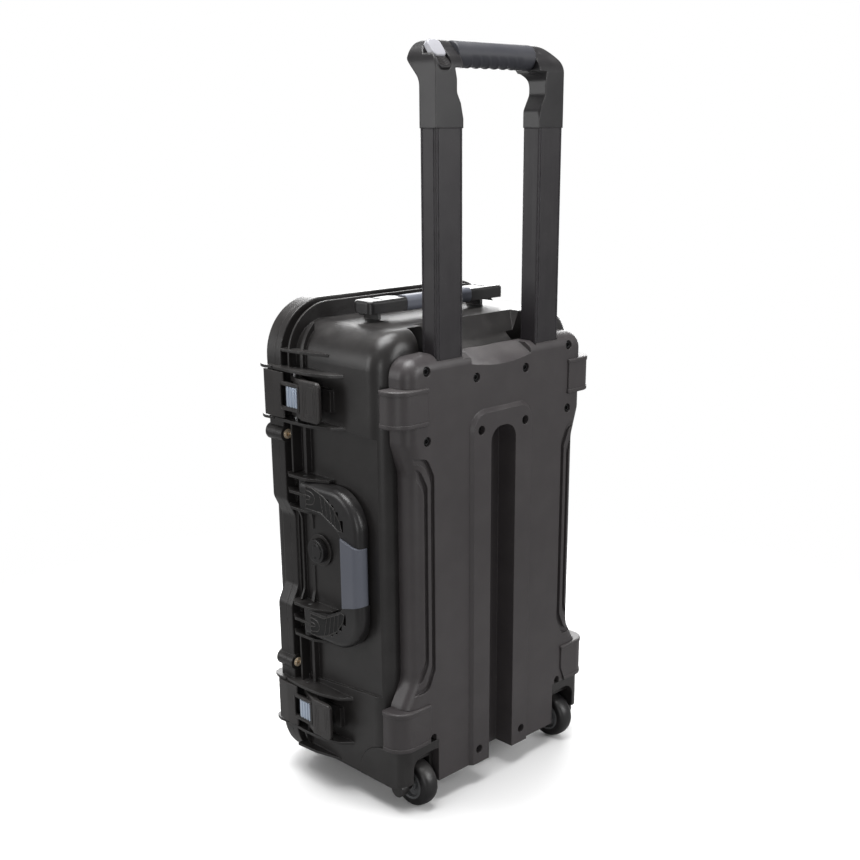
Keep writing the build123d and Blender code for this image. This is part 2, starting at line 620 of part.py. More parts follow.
def side_grip_zone(gap):
    """The stretch of the side handle's bar that the soft sleeve covers."""
    half = [(-18, 42 - gap, 0), (-60, 31 - gap, 0)]
    return Pos(0, 0, HARDWARE_Z) * in_yz(mirrored_outline(half), -180, -140)


def side_core():
    """The stiff bar inside the side handle's sleeve."""
    return block(-163.5, -155.5, -46, -32, HARDWARE_Z - 48, HARDWARE_Z + 48)


def lattice(y, z0, z1):
    """One slanted slot of a side handle's open arm, about the handle's middle height."""
    return in_yz(outline((y - 2.6, z0, 1), (y + 2.6, z0 - 1, 1), (y + 2.6, z1 - 1, 1),
                         (y - 2.6, z1, 1)), -170, -158)


def side_frame():
    """The side handle's stiff frame, with a barrel at each foot and open ribbed arms."""
    out = [(52, 92.4, 0), (-52.5, 92.4, 44)]
    hole = [(60, 59.4, 0), (8, 59.4, 12), (-24, 44, 10)]
    frame = in_yz(mirrored_outline(out), -167, -151.8)
    face = frame.faces().sort_by(Axis.X)[0]
    frame = fillet(face.edges().filter_by(lambda e: e.center().Y < 45), 8)
    frame = Pos(0, 0, HARDWARE_Z) * (frame - in_yz(mirrored_outline(hole), -170, -150))
    frame -= block(-200, -100, SIDE_PIVOT[1], 90, 150, 400)
    for side in (-1, 1):
        ends = sorted((HARDWARE_Z + side * 59.4, HARDWARE_Z + side * 92.4))
        frame += rod_z(*SIDE_PIVOT, ends[0], ends[1], 7.2)
        middle = HARDWARE_Z + side * 76
        frame -= block(-200, -140, 3, 60, middle - 1.9, middle + 1.9)
        for y, z0, z1 in ((-4, 64, 80), (-11.5, 60, 75), (-19, 55, 69), (-26.5, 48, 61)):
            slot = Pos(0, 0, HARDWARE_Z) * lattice(y, z0, z1)
            frame -= slot if side > 0 else mirror(slot, about=Plane.XY.offset(HARDWARE_Z))
        frame -= block(-200, -140, 2, 60, HARDWARE_Z + side * 92.6, HARDWARE_Z + side * 99)
        frame -= block(-200, -140, 2, 60, HARDWARE_Z + side * 40, HARDWARE_Z + side * 59.4)
        frame -= rod_z(*SIDE_PIVOT, ends[0] - 8, ends[1] + 8, HANDLE_PIN_R + 0.05)
    return frame - (side_grip_zone(0) - side_core())


def side_grip():
    """The soft sleeve on the side handle's bar, with slanted ends."""
    plan = outline((-170, -24, 4), (-170, -53, 9), (-151.2, -53, 5), (-151.2, -24, 4))
    grip = in_xy(plan, HARDWARE_Z - 50, HARDWARE_Z + 50) & side_grip_zone(0.1)
    return grip - block(-163.55, -155.45, -46.05, -31.95, HARDWARE_Z - 50, HARDWARE_Z + 50)


def top_frame():
    """The top handle's frame: a broad foot at each end and a bar between them."""
    half = [(-104.4, 19, 7), (-104.4, -10, 7)]
    gap = [(-55, 40, 0), (-55, 9, 9)]
    loop = outline(*half, *[(-x, y, r) for x, y, r in reversed(half)])
    loop -= outline(*gap, *[(-x, y, r) for x, y, r in reversed(gap)])
    frame = in_xy(loop, 547, 560.5)
    upper = frame.faces().sort_by(Axis.Z)[-1]
    frame = fillet(upper.edges().filter_by(lambda e: abs(e.center().X) > 60
                                           or e.center().Y < 0), 3)
    for side in (-1, 1):
        frame += rod_x(side * 62, side * 98, *TOP_PIVOT, 6)
        frame -= block(side * (TOP_RIB - 2.2), side * (TOP_RIB + 2.2), -3, 40, 500, 600)
        frame -= rod_x(side * 68, side * 92, *TOP_PIVOT, HANDLE_PIN_R + 0.05)
    return frame - (block(-50.2, 50.2, -20, 30, 500, 600) - block(-60, 60, -6, 4, 549.5, 557.5))


def top_grip():
    """The soft sleeve on the top handle's bar."""
    section = outline((-10.5, 545.5, 6), (8.5, 545.5, 6), (8.5, 562, 6), (-10.5, 562, 6))
    grip = in_yz(section, -50, 50)
    return grip - block(-60, 60, -6.05, 4.05, 549.45, 557.55)


# --- small parts --------------------------------------------------------------------------
def eyelet(z, y_low, y_high):
    """A turned metal ring pressed through a flange."""
    ring = rod_y(EYELET_X, y_low, y_high, z, 5.5)
    return ring - rod_y(EYELET_X, y_low - 1, y_high + 1, z, 4.0)


def valve_body():
    """The relief valve's threaded body, through the wall, with a nut inside."""
    body = rod_x(-155, -138, VALVE_Y, VALVE_Z, 8.95) + rod_x(-151.5, -149, VALVE_Y, VALVE_Z, VALVE_FLANGE)
    nut = in_yz(Pos(VALVE_Y, VALVE_Z) * RegularPolygon(13, 6), -139.9, -136)
    return body + nut - rod_x(-156, -130, VALVE_Y, VALVE_Z, 4)


def valve_knob():
    """The relief valve's knob, with two slots in its face."""
    knob = rod_x(-160, -151.6, VALVE_Y, VALVE_Z, 14)
    knob = fillet(knob.edges().filter_by(GeomType.CIRCLE).sort_by(Axis.X)[:1], 2)
    knob -= rod_x(-155.1, -150, VALVE_Y, VALVE_Z, 9.1)
    for z in (VALVE_Z - 7.5, VALVE_Z + 7.5):
        knob -= block(-162, -158, VALVE_Y - 1.5, VALVE_Y + 3.5, z - 1.6, z + 1.6)
    return knob


def standing_foot(x):
    """One rubber foot under the base's front edge."""
    return in_yz(outline((40, 4, 0), (43, 0, 2), (72, 0, 2), (75, 4, 0)), x - 6, x + 6)


os.makedirs("parts", exist_ok=True)

write("base_shell", base_shell())
write("lid_shell", lid_shell())
write("lid_seal", seal_ring(2.3, SEAM_Y + 0.1, SEAM_Y + 4.4))
write("hinge_pins", Compound(children=hinge_pins()))
write("rear_panel", rear_panel())
write("panel_screws", Compound(children=panel_screws()))
write("standing_feet", Compound(children=[standing_foot(-105), standing_foot(105)]))

write("upper_bumper_left", bumper(444, 484, 156, 140))
write("upper_bumper_right", right_of(bumper(444, 484, 156, 140)))
write("lower_bumper_left", lower_bumper())
write("lower_bumper_right", right_of(lower_bumper()))

for name, make in (("wheel_housing", wheel_housing), ("tyre", tyre), ("wheel_hub", hub),
                   ("axle", axle), ("trolley_sleeve", sleeve), ("trolley_tube", tube),
                   ("lock_pin", lock_pin)):
    write(f"{name}_left", make())
    write(f"{name}_right", right_of(make()))
write("wheel_bearings_left", Compound(children=bearings()))
write("wheel_bearings_right", right_of(Compound(children=bearings())))

write("trolley_arm_left", arm() - button_slot())
write("trolley_arm_right", right_of(arm()))
write("trolley_bar", rod_x(-66, 66, GRIP_Y, GRIP_Z, 6.95))
write("trolley_grip", fillet((rod_x(-GRIP_HALF, GRIP_HALF, GRIP_Y, GRIP_Z, 12.6)).edges(), 1)
      - rod_x(-70, 70, GRIP_Y, GRIP_Z, 7))
write("release_button", release_button())
write("push_rods", Compound(children=push_rods()))

for name, middle in zip(("lower", "upper"), LATCHES):
    place = Pos(0, 0, middle)
    write(f"{name}_latch_lever", place * latch_lever())
    write(f"{name}_latch_claw", place * latch_claw())
    write(f"{name}_lock_slide", place * lock_slide())
    write(f"{name}_lever_pin", place * rod_z(*LEVER_PIN, -29.5, 29.5, LEVER_PIN_R))
    write(f"{name}_claw_pin", place * rod_z(*CLAW_PIN, -21.4, 21.4, CLAW_PIN_R))

write("side_handle_frame", side_frame())
write("side_handle_grip", side_grip())
write("side_handle_pins", Compound(children=[
    rod_z(*SIDE_PIVOT, low, low + 40, HANDLE_PIN_R) for low in (HARDWARE_Z - 96, HARDWARE_Z + 56)]))
write("top_handle_frame", top_frame())
write("top_handle_grip", top_grip())
write("top_handle_pins", Compound(children=[
    rod_x(low, low + 24, *TOP_PIVOT, HANDLE_PIN_R) for low in (-92, 68)]))

write("valve_body", valve_body())
write("valve_knob", valve_knob())
write("base_eyelets", Compound(children=[eyelet(z, SEAM_Y - 11.5, SEAM_Y) for z in EYELETS]))
write("lid_eyelets", Compound(children=[
    eyelet(z, SEAM_Y + SEAM_GAP, BAND_Y + 0.5) for z in EYELETS]))
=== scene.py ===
"""Looks of a rolling hard equipment case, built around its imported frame.

Each sub-assembly of the case is a class that builds its own pieces and dresses them, and each
finish is a small frozen dataclass. Lengths are metres in the frame's own axes: +Z up the case,
+Y towards its lid, -X towards its latches.
"""

import json
import logging
import math
from dataclasses import dataclass, field
from enum import Enum
from typing import Sequence

import bmesh
import bpy
from mathutils import Matrix, Vector


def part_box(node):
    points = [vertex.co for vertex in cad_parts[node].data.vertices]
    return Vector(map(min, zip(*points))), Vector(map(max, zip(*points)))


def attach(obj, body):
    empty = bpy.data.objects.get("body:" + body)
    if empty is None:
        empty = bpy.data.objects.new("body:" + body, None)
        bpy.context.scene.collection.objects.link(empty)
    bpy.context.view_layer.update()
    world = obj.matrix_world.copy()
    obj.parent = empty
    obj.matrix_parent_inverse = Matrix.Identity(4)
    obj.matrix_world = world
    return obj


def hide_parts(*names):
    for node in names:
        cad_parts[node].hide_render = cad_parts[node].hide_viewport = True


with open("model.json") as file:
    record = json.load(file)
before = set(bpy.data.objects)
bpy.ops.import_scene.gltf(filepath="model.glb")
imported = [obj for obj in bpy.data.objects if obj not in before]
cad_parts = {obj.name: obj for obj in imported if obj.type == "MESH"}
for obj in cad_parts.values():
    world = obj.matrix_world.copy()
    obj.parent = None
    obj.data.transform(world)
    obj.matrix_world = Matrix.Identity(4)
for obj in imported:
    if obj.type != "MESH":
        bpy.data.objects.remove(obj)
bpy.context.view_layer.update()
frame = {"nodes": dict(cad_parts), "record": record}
MM = 0.001
LEFTWARDS = (-1.0, 0.0, 0.0)
DUST_COLOUR = (0.30, 0.29, 0.28)
TONE_SPREAD = 0.14
ROUGHNESS_SPREAD = 0.06
Colour = tuple[float, float, float]
log = logging.getLogger("equipment_case")


# --------------------------------------------------------------------------------------------
# Shader groups
# --------------------------------------------------------------------------------------------
class GroupBuilder:
    """A small helper that makes one shader node group with named sockets."""

    def __init__(self, name: str) -> None:
        """Start an empty group.

        Args:
            name: The group's name.
        """
        self.tree = bpy.data.node_groups.new(name, "ShaderNodeTree")
        self.inputs = self.tree.nodes.new("NodeGroupInput")
        self.outputs = self.tree.nodes.new("NodeGroupOutput")

    def value_in(self, name: str, default: float) -> bpy.types.NodeSocket:
        """Add a number input.

        Args:
            name: The input's name.
            default: Its value where nothing is linked.

        Returns:
            The socket to read it from.
        """
        socket = self.tree.interface.new_socket(name, in_out="INPUT", socket_type="NodeSocketFloat")
        socket.default_value = default
        return self.inputs.outputs[name]

    def vector_in(self, name: str) -> bpy.types.NodeSocket:
        """Add a vector input and return the socket to read it from."""
        self.tree.interface.new_socket(name, in_out="INPUT", socket_type="NodeSocketVector")
        return self.inputs.outputs[name]

    def value_out(self, name: str) -> bpy.types.NodeSocket:
        """Add a number output and return the socket to feed."""
        self.tree.interface.new_socket(name, in_out="OUTPUT", socket_type="NodeSocketFloat")
        return self.outputs.inputs[name]

    def node(self, kind: str, **settings: object) -> bpy.types.Node:
        """Add a node.

        Args:
            kind: The node's type name after "ShaderNode".
            **settings: Attributes to set on the node.

        Returns:
            The new node.
        """
        made = self.tree.nodes.new("ShaderNode" + kind)
        for key, value in settings.items():
            setattr(made, key, value)
        return made

    def math(self, operation: str, first: object, second: object = 0.0,
             clamp: bool = False) -> bpy.types.NodeSocket:
        """Add a Math node.

        Args:
            operation: The node's operation.
            first: First operand, a socket or a number.
            second: Second operand, a socket or a number.
            clamp: Whether the result is held between 0 and 1.

        Returns:
            The result socket.
        """
        made = self.node("Math", operation=operation, use_clamp=clamp)
        for socket, operand in zip(made.inputs, (first, second)):
            if isinstance(operand, bpy.types.NodeSocket):
                self.tree.links.new(operand, socket)
            else:
                socket.default_value = operand
        return made.outputs[0]

    def link(self, source: bpy.types.NodeSocket, target: bpy.types.NodeSocket) -> None:
        """Join two sockets."""
        self.tree.links.new(source, target)

    def ramp(self, source: bpy.types.NodeSocket, low: object, high: object) -> bpy.types.NodeSocket:
        """Stretch a value so that low becomes 0 and high becomes 1, clamped.

        Args:
            source: The value to stretch.
            low: The value, or socket, that becomes 0.
            high: The value, or socket, that becomes 1.

        Returns:
            The stretched value's socket.
        """
        made = self.node("MapRange", clamp=True)
        self.link(source, made.inputs["Value"])
        for key, bound in (("From Min", low), ("From Max", high)):
            if isinstance(bound, bpy.types.NodeSocket):
                self.link(bound, made.inputs[key])
            else:
                made.inputs[key].default_value = bound
        return made.outputs["Result"]


def object_noise(build: GroupBuilder, scale: object, detail: float,
                 stretch: Sequence[float] = (1.0, 1.0, 1.0)) -> bpy.types.NodeSocket:
    """Add a noise read at Object coordinates.

    Args:
        build: The group to add to.
        scale: A number or a socket with the noise scale, per metre.
        detail: Noise detail.
        stretch: How much the pattern is squeezed along each axis.

    Returns:
        The noise value socket.
    """
    coords = build.node("TexCoord")
    mapping = build.node("Mapping")
    mapping.inputs["Scale"].default_value = stretch
    build.link(coords.outputs["Object"], mapping.inputs["Vector"])
    noise = build.node("TexNoise")
    noise.inputs["Detail"].default_value = detail
    build.link(mapping.outputs["Vector"], noise.inputs["Vector"])
    if isinstance(scale, bpy.types.NodeSocket):
        build.link(scale, noise.inputs["Scale"])
    else:
        noise.inputs["Scale"].default_value = scale
    return noise.outputs["Fac"]


def make_scuff_and_highlight_group() -> bpy.types.ShaderNodeTree:
    """Make the edge mask, for scuffing and a painted highlight: where the rounded normal leaves the
    true one, broken up by noise.

    Returns:
        The group.
    """
    build = GroupBuilder("edge_scuff_and_highlight")
    rounded = build.vector_in("Rounded Normal")
    amount = build.value_in("Amount", 0.5)
    geometry = build.node("NewGeometry")
    dot = build.node("VectorMath", operation="DOT_PRODUCT")
    build.link(rounded, dot.inputs[0])
    build.link(geometry.outputs["Normal"], dot.inputs[1])
    edge = build.ramp(build.math("SUBTRACT", 1.0, dot.outputs["Value"]), 0.02, 0.22)
    patches = build.ramp(object_noise(build, 95.0, 4.0), 0.38, 0.66)
    scuff_and_highlight = build.math("MULTIPLY", edge, build.math("ADD", patches, 0.35, clamp=True))
    build.link(build.math("MULTIPLY", scuff_and_highlight, amount, clamp=True), build.value_out("Mask"))
    return build.tree


def make_grain_group() -> bpy.types.ShaderNodeTree:
    """Make moulded plastic grain: a fine pebbled height and a broad, faint tone change.

    Returns:
        The group.
    """
    build = GroupBuilder("moulded_grain")
    scale = build.value_in("Scale", 900.0)
    coords = build.node("TexCoord")
    cells = build.node("TexVoronoi", feature="SMOOTH_F1")
    cells.inputs["Smoothness"].default_value = 0.6
    build.link(coords.outputs["Object"], cells.inputs["Vector"])
    build.link(scale, cells.inputs["Scale"])
    fine = object_noise(build, build.math("MULTIPLY", scale, 1.7), 3.0)
    height = build.math("ADD", cells.outputs["Distance"], build.math("MULTIPLY", fine, 0.5))
    build.link(height, build.value_out("Height"))
    build.link(object_noise(build, 9.0, 5.0), build.value_out("Tone"))
    return build.tree


def make_dust_group() -> bpy.types.ShaderNodeTree:
    """Make settled dust: more on faces that look up, in soft patches with a few specks.

    Returns:
        The group.
    """
    build = GroupBuilder("settled_dust")
    amount = build.value_in("Amount", 0.3)
    geometry = build.node("NewGeometry")
    split = build.node("SeparateXYZ")
    build.link(geometry.outputs["Normal"], split.inputs["Vector"])
    upward = build.ramp(split.outputs["Z"], 0.2, 1.0)
    patches = build.ramp(object_noise(build, 30.0, 8.0), 0.42, 0.75)
    specks = build.ramp(object_noise(build, 420.0, 2.0), 0.70, 0.78)
    film = build.math("MULTIPLY", patches, build.math("ADD", upward, 0.25, clamp=True))
    total = build.math("ADD", film, build.math("MULTIPLY", specks, 0.5))
    build.link(build.math("MULTIPLY", total, amount, clamp=True), build.value_out("Mask"))
    return build.tree


def make_drawn_group() -> bpy.types.ShaderNodeTree:
    """Make drawn metal: long fine scratches along Z, as on an extruded tube.

    Returns:
        The group.
    """
    build = GroupBuilder("drawn_lines")
    lines = object_noise(build, 1400.0, 3.0, (1.0, 1.0, 0.004))
    build.link(lines, build.value_out("Height"))
    build.link(build.ramp(lines, 0.3, 0.7), build.value_out("Tone"))
    return build.tree


class Effects:
    """The shared node groups, each made once."""

    def __init__(self) -> None:
        """Make all groups."""
        self.edge = make_scuff_and_highlight_group()
        self.grain = make_grain_group()
        self.dust = make_dust_group()
        self.drawn = make_drawn_group()


# --------------------------------------------------------------------------------------------
# Finishes
# --------------------------------------------------------------------------------------------
class Surface(Enum):
    """Which fine surface pattern a finish carries."""

    PEBBLED = "pebbled"
    DRAWN = "drawn"


@dataclass(frozen=True)
class Finish:
    """One real finish of the case and how it is painted.

    Attributes:
        name: Material name.
        colour: Linear base colour.
        scuff_and_highlight: Colour along the edges, for scuffing and also a painted highlight.
        roughness: Middle roughness.
        metallic: 0 for plastics, 1 for bare metal.
        grain: Pattern scale, cells per metre.
        relief: Height of the grain, in metres.
        scuff_and_highlight_strength: Strength of that edge colour, for scuffing and the painted
            highlight.
        dust: Strength of settled dust.
        coat: Clear coat weight.
        round_edge: Radius that the shading gives sharp edges, in metres.
        surface: Fine pattern.
    """

    name: str
    colour: Colour
    scuff_and_highlight: Colour
    roughness: float
    metallic: float = 0.0
    grain: float = 1100.0
    relief: float = 0.00006
    scuff_and_highlight_strength: float = 0.35
    dust: float = 0.12
    coat: float = 0.0
    round_edge: float = 0.0012
    surface: Surface = Surface.PEBBLED

    def make(self, effects: Effects) -> bpy.types.Material:
        """Build the node material.

        Args:
            effects: The shared node groups.

        Returns:
            The finished material.
        """
        material = bpy.data.materials.new(self.name)
        material.use_nodes = True
        tree = material.node_tree
        shader = tree.nodes["Principled BSDF"]
        bevel = tree.nodes.new("ShaderNodeBevel")
        bevel.samples = 4
        bevel.inputs["Radius"].default_value = self.round_edge
        pattern = tree.nodes.new("ShaderNodeGroup")
        if self.surface is Surface.DRAWN:
            pattern.node_tree = effects.drawn
        else:
            pattern.node_tree = effects.grain
            pattern.inputs["Scale"].default_value = self.grain
        edge = tree.nodes.new("ShaderNodeGroup")
        edge.node_tree = effects.edge
        edge.inputs["Amount"].default_value = self.scuff_and_highlight_strength
        tree.links.new(bevel.outputs["Normal"], edge.inputs["Rounded Normal"])
        dust = tree.nodes.new("ShaderNodeGroup")
        dust.node_tree = effects.dust
        dust.inputs["Amount"].default_value = self.dust

        tone = self._mix(tree, pattern.outputs["Tone"], self._shade(1.0 - TONE_SPREAD),
                         self._shade(1.0 + TONE_SPREAD))
        # The edge mask lays on the edge colour: scuffing and a painted highlight along the edges.
        scuffed_and_highlit = self._mix(tree, edge.outputs["Mask"], tone, self.scuff_and_highlight)
        dusty = self._mix(tree, dust.outputs["Mask"], scuffed_and_highlit, DUST_COLOUR)
        tree.links.new(dusty, shader.inputs["Base Color"])

        rough = tree.nodes.new("ShaderNodeMapRange")
        tree.links.new(pattern.outputs["Tone"], rough.inputs["Value"])
        rough.inputs["To Min"].default_value = max(self.roughness - ROUGHNESS_SPREAD, 0.02)
        rough.inputs["To Max"].default_value = min(self.roughness + ROUGHNESS_SPREAD, 1.0)
        tree.links.new(rough.outputs["Result"], shader.inputs["Roughness"])

        bump = tree.nodes.new("ShaderNodeBump")
        bump.inputs["Distance"].default_value = self.relief
        tree.links.new(pattern.outputs["Height"], bump.inputs["Height"])
        tree.links.new(bevel.outputs["Normal"], bump.inputs["Normal"])
        tree.links.new(bump.outputs["Normal"], shader.inputs["Normal"])
        shader.inputs["Metallic"].default_value = self.metallic
        shader.inputs["Coat Weight"].default_value = self.coat
        return material

    def _shade(self, factor: float) -> Colour:
        """The base colour made lighter or darker."""
        return tuple(min(channel * factor, 1.0) for channel in self.colour)

    @staticmethod
    def _mix(tree: bpy.types.NodeTree, factor: bpy.types.NodeSocket, first: object,
             second: object) -> bpy.types.NodeSocket:
        """Mix two colours.

        Args:
            tree: The material's node tree.
            factor: Share of the second colour.
            first: A colour socket or three numbers.
            second: A colour socket or three numbers.

        Returns:
            The mixed colour's socket.
        """
        mix = tree.nodes.new("ShaderNodeMix")
        mix.data_type = "RGBA"
        tree.links.new(factor, mix.inputs["Factor"])
        for key, colour in (("A", first), ("B", second)):
            socket = next(s for s in mix.inputs if s.name == key and s.type == "RGBA")
            if isinstance(colour, bpy.types.NodeSocket):
                tree.links.new(colour, socket)
            else:
                socket.default_value = (*colour, 1.0)
        return next(s for s in mix.outputs if s.type == "RGBA")


# Edge grey for scuffs, light enough to also paint a highlight along the edges.
EDGE_GREY_SCUFF_AND_HIGHLIGHT: Colour = (0.16, 0.155, 0.15)
FINISHES: dict[str, Finish] = {
    "shell_black": Finish("shell_black", (0.0175, 0.0160, 0.0158), EDGE_GREY_SCUFF_AND_HIGHLIGHT, 0.35),
    "panel_black": Finish("panel_black", (0.0480, 0.0425, 0.0440), EDGE_GREY_SCUFF_AND_HIGHLIGHT, 0.42),
    # Lighter than the shell: partly the latches' own colour, partly painted light for the brighter
    # light falling on the latch side.
    "latch_black": Finish("latch_black", (0.0270, 0.0245, 0.0240), EDGE_GREY_SCUFF_AND_HIGHLIGHT, 0.30,
                          relief=0.00003),
    "handle_black": Finish("handle_black", (0.0130, 0.0122, 0.0128), EDGE_GREY_SCUFF_AND_HIGHLIGHT, 0.32),
    # Darkened: partly the tubes' own anodised colour, partly painted shade for the weaker light on
    # the trolley's upper parts.
    "tube_anodised": Finish("tube_anodised", (0.0170, 0.0145, 0.0170), (0.16, 0.15, 0.17), 0.44,
                            metallic=0.1, relief=0.000004, scuff_and_highlight_strength=0.5, round_edge=0.0020,
                            surface=Surface.DRAWN),
    # Darkened: partly the arms' own colour, partly painted shade for the weaker light on the
    # trolley's upper parts.
    "arm_black": Finish("arm_black", (0.0115, 0.0105, 0.0118), EDGE_GREY_SCUFF_AND_HIGHLIGHT, 0.36, relief=0.00003,
                        round_edge=0.0020),
    "grip_slate": Finish("grip_slate", (0.0400, 0.0410, 0.0500), (0.14, 0.14, 0.16), 0.50,
                         scuff_and_highlight_strength=0.2),
    "handle_slate": Finish("handle_slate", (0.1050, 0.1130, 0.1400), (0.20, 0.21, 0.24), 0.50,
                           scuff_and_highlight_strength=0.2),
    "button_grey": Finish("button_grey", (0.40, 0.40, 0.43), (0.50, 0.50, 0.52), 0.32,
                          relief=0.00001),
    "lock_silver": Finish("lock_silver", (0.50, 0.58, 0.70), (0.85, 0.88, 0.92), 0.20,
                          metallic=0.35, relief=0.0, coat=0.6),
    "eyelet_brass": Finish("eyelet_brass", (0.82, 0.68, 0.50), (0.95, 0.86, 0.7), 0.34,
                           metallic=0.5, relief=0.00002),
    "seal_rubber": Finish("seal_rubber", (0.03, 0.03, 0.03), EDGE_GREY_SCUFF_AND_HIGHLIGHT, 0.7),
    "foot_rubber": Finish("foot_rubber", (0.0030, 0.0030, 0.0032), (0.02, 0.02, 0.02), 0.8),
    "tyre_black": Finish("tyre_black", (0.0060, 0.0055, 0.0062), (0.05, 0.05, 0.055), 0.36,
                         dust=0.2, relief=0.00004),
    "hub_grey": Finish("hub_grey", (0.115, 0.118, 0.122), (0.3, 0.3, 0.3), 0.35),
    "steel": Finish("steel", (0.5, 0.5, 0.51), (0.8, 0.8, 0.8), 0.3, metallic=1.0,
                    relief=0.00001),
    "rod_metal": Finish("rod_metal", (0.55, 0.55, 0.56), (0.8, 0.8, 0.8), 0.35, metallic=1.0,
                        relief=0.00001, surface=Surface.DRAWN),
    "screw_black": Finish("screw_black", (0.008, 0.008, 0.009), (0.12, 0.12, 0.12), 0.24,
                          metallic=0.4, relief=0.00001),
}


class Palette:
    """All finishes of the case as materials, found by the record's slot name."""

    def __init__(self) -> None:
        """Make the shared groups and every material."""
        effects = Effects()
        self.materials = {slot: finish.make(effects) for slot, finish in FINISHES.items()}
        self.slot_of = {row["node"]: row["material_slot"] for row in frame["record"]["subparts"]}

    def paint(self, piece: bpy.types.Object, slot: str) -> None:
        """Give a piece one finish.

        Args:
            piece: A mesh object.
            slot: The record's material slot.
        """
        piece.data.materials.clear()
        piece.data.materials.append(self.materials[slot])

    def paint_frame(self) -> None:
        """Give every CAD node the finish of its own slot."""
        for name, node in frame["nodes"].items():
            self.paint(node, self.slot_of[name])


# --------------------------------------------------------------------------------------------
# Studio
# --------------------------------------------------------------------------------------------
@dataclass
class Softbox:
    """One rectangular studio light."""

    name: str
    place: tuple[float, float, float]
    aim: tuple[float, float, float]
    size: tuple[float, float]
    power: float

    def build(self) -> None:
        """Make the light, turned towards its aim."""
        lamp = bpy.data.lights.new(self.name, "AREA")
        lamp.shape = "RECTANGLE"
        lamp.size, lamp.size_y = self.size
        lamp.energy = self.power
        light = bpy.data.objects.new(self.name, lamp)
        light.location = self.place
        direction = Vector(self.aim) - Vector(self.place)
        light.rotation_euler = direction.to_track_quat("-Z", "Y").to_euler()
        bpy.context.scene.collection.objects.link(light)


@dataclass
class Studio:
    """Pale floor, soft light and the camera."""

    camera_place: tuple[float, float, float] = (-0.971, -0.990, 0.739)
    camera_yaw: float = math.radians(45.65)
    camera_pitch: float = math.radians(18.2)
    lens: float = 51.45
    sensor: float = 36.0
    shift: tuple[float, float] = (-0.0349, 0.1140)
    floor_radius: float = 1.5
    fade: tuple[float, float] = (0.45, 0.95)
    floor_seen: float = 0.95
    floor_bounce: float = 0.26
    fill: float = 0.26
    softboxes: list[Softbox] = field(default_factory=lambda: [
        Softbox("top_box", (-0.15, 0.10, 2.3), (0.0, 0.0, 0.3), (1.5, 1.5), 68.0),
        Softbox("rear_box", (1.0, -2.1, 1.2), (0.0, 0.0, 0.3), (0.9, 1.4), 25.0),
        Softbox("side_box", (-2.2, 1.5, 0.9), (0.0, 0.0, 0.35), (0.7, 1.2), 15.0),
        Softbox("edge_strip", (-1.75, -1.55, 0.55), (0.0, 0.0, 0.35), (0.16, 1.0), 7.0),
        Softbox("back_drop", (1.8, 1.9, 0.95), (0.0, 0.0, 0.4), (3.0, 1.7), 85.0),
    ])

    def build(self) -> None:
        """Make the camera, the lights, the world and the floor."""
        self._camera()
        for box in self.softboxes:
            box.build()
        self._world()
        self._floor()
        log.info("studio: %d softboxes", len(self.softboxes))

    def _camera(self) -> None:
        """Place the camera and make it the scene's own."""
        data = bpy.data.cameras.new("camera")
        data.lens = self.lens
        data.sensor_width = self.sensor
        data.shift_x, data.shift_y = self.shift
        camera = bpy.data.objects.new("camera", data)
        camera.location = self.camera_place
        camera.rotation_euler = (math.pi / 2 - self.camera_pitch, 0.0, -self.camera_yaw)
        bpy.context.scene.collection.objects.link(camera)
        bpy.context.scene.camera = camera

    def _world(self) -> None:
        """White to the eye, and a dim even fill for everything that the world lights."""
        world = bpy.data.worlds.new("studio")
        world.use_nodes = True
        tree = world.node_tree
        background = tree.nodes["Background"]
        background.inputs["Color"].default_value = (1.0, 1.0, 1.0, 1.0)
        self._by_camera(tree, self.fill, 1.0, background.inputs["Strength"])
        bpy.context.scene.world = world
        bpy.context.scene.view_settings.view_transform = "Standard"

    @staticmethod
    def _by_camera(tree: bpy.types.NodeTree, other: float, seen: float,
                   target: bpy.types.NodeSocket) -> None:
        """Feed a socket one value for rays seen directly and another for all others.

        Args:
            tree: The node tree.
            other: Value for light that bounces.
            seen: Value for what is seen directly.
            target: The socket to feed.
        """
        path = tree.nodes.new("ShaderNodeLightPath")
        pick = tree.nodes.new("ShaderNodeMapRange")
        pick.inputs["To Min"].default_value = other
        pick.inputs["To Max"].default_value = seen
        tree.links.new(path.outputs["Is Camera Ray"], pick.inputs["Value"])
        tree.links.new(pick.outputs["Result"], target)

    def _floor(self) -> None:
        """One pale matt floor whose rim melts into the white around it."""
        mesh = bpy.data.meshes.new("floor")
        sheet = bmesh.new()
        bmesh.ops.create_circle(sheet, cap_ends=True, segments=96, radius=self.floor_radius)
        sheet.to_mesh(mesh)
        sheet.free()
        floor = bpy.data.objects.new("floor", mesh)
        bpy.context.scene.collection.objects.link(floor)
        material = bpy.data.materials.new("floor_white")
        material.use_nodes = True
        tree = material.node_tree
        shader = tree.nodes["Principled BSDF"]
        self._by_camera(tree, self.floor_bounce, self.floor_seen, shader.inputs["Base Color"])
        shader.inputs["Roughness"].default_value = 0.7
        coords = tree.nodes.new("ShaderNodeTexCoord")
        length = tree.nodes.new("ShaderNodeVectorMath")
        length.operation = "LENGTH"
        fade = tree.nodes.new("ShaderNodeMapRange")
        fade.interpolation_type = "SMOOTHSTEP"
        fade.inputs["From Min"].default_value, fade.inputs["From Max"].default_value = self.fade
        fade.inputs["To Min"].default_value = 1.0
        fade.inputs["To Max"].default_value = 0.0
        tree.links.new(coords.outputs["Object"], length.inputs[0])
        tree.links.new(length.outputs["Value"], fade.inputs["Value"])
        tree.links.new(fade.outputs["Result"], shader.inputs["Alpha"])
        mesh.materials.append(material)


# --------------------------------------------------------------------------------------------
# Modelling steps shared by the sub-assemblies
# --------------------------------------------------------------------------------------------
SMOOTH_ANGLE = math.radians(32)


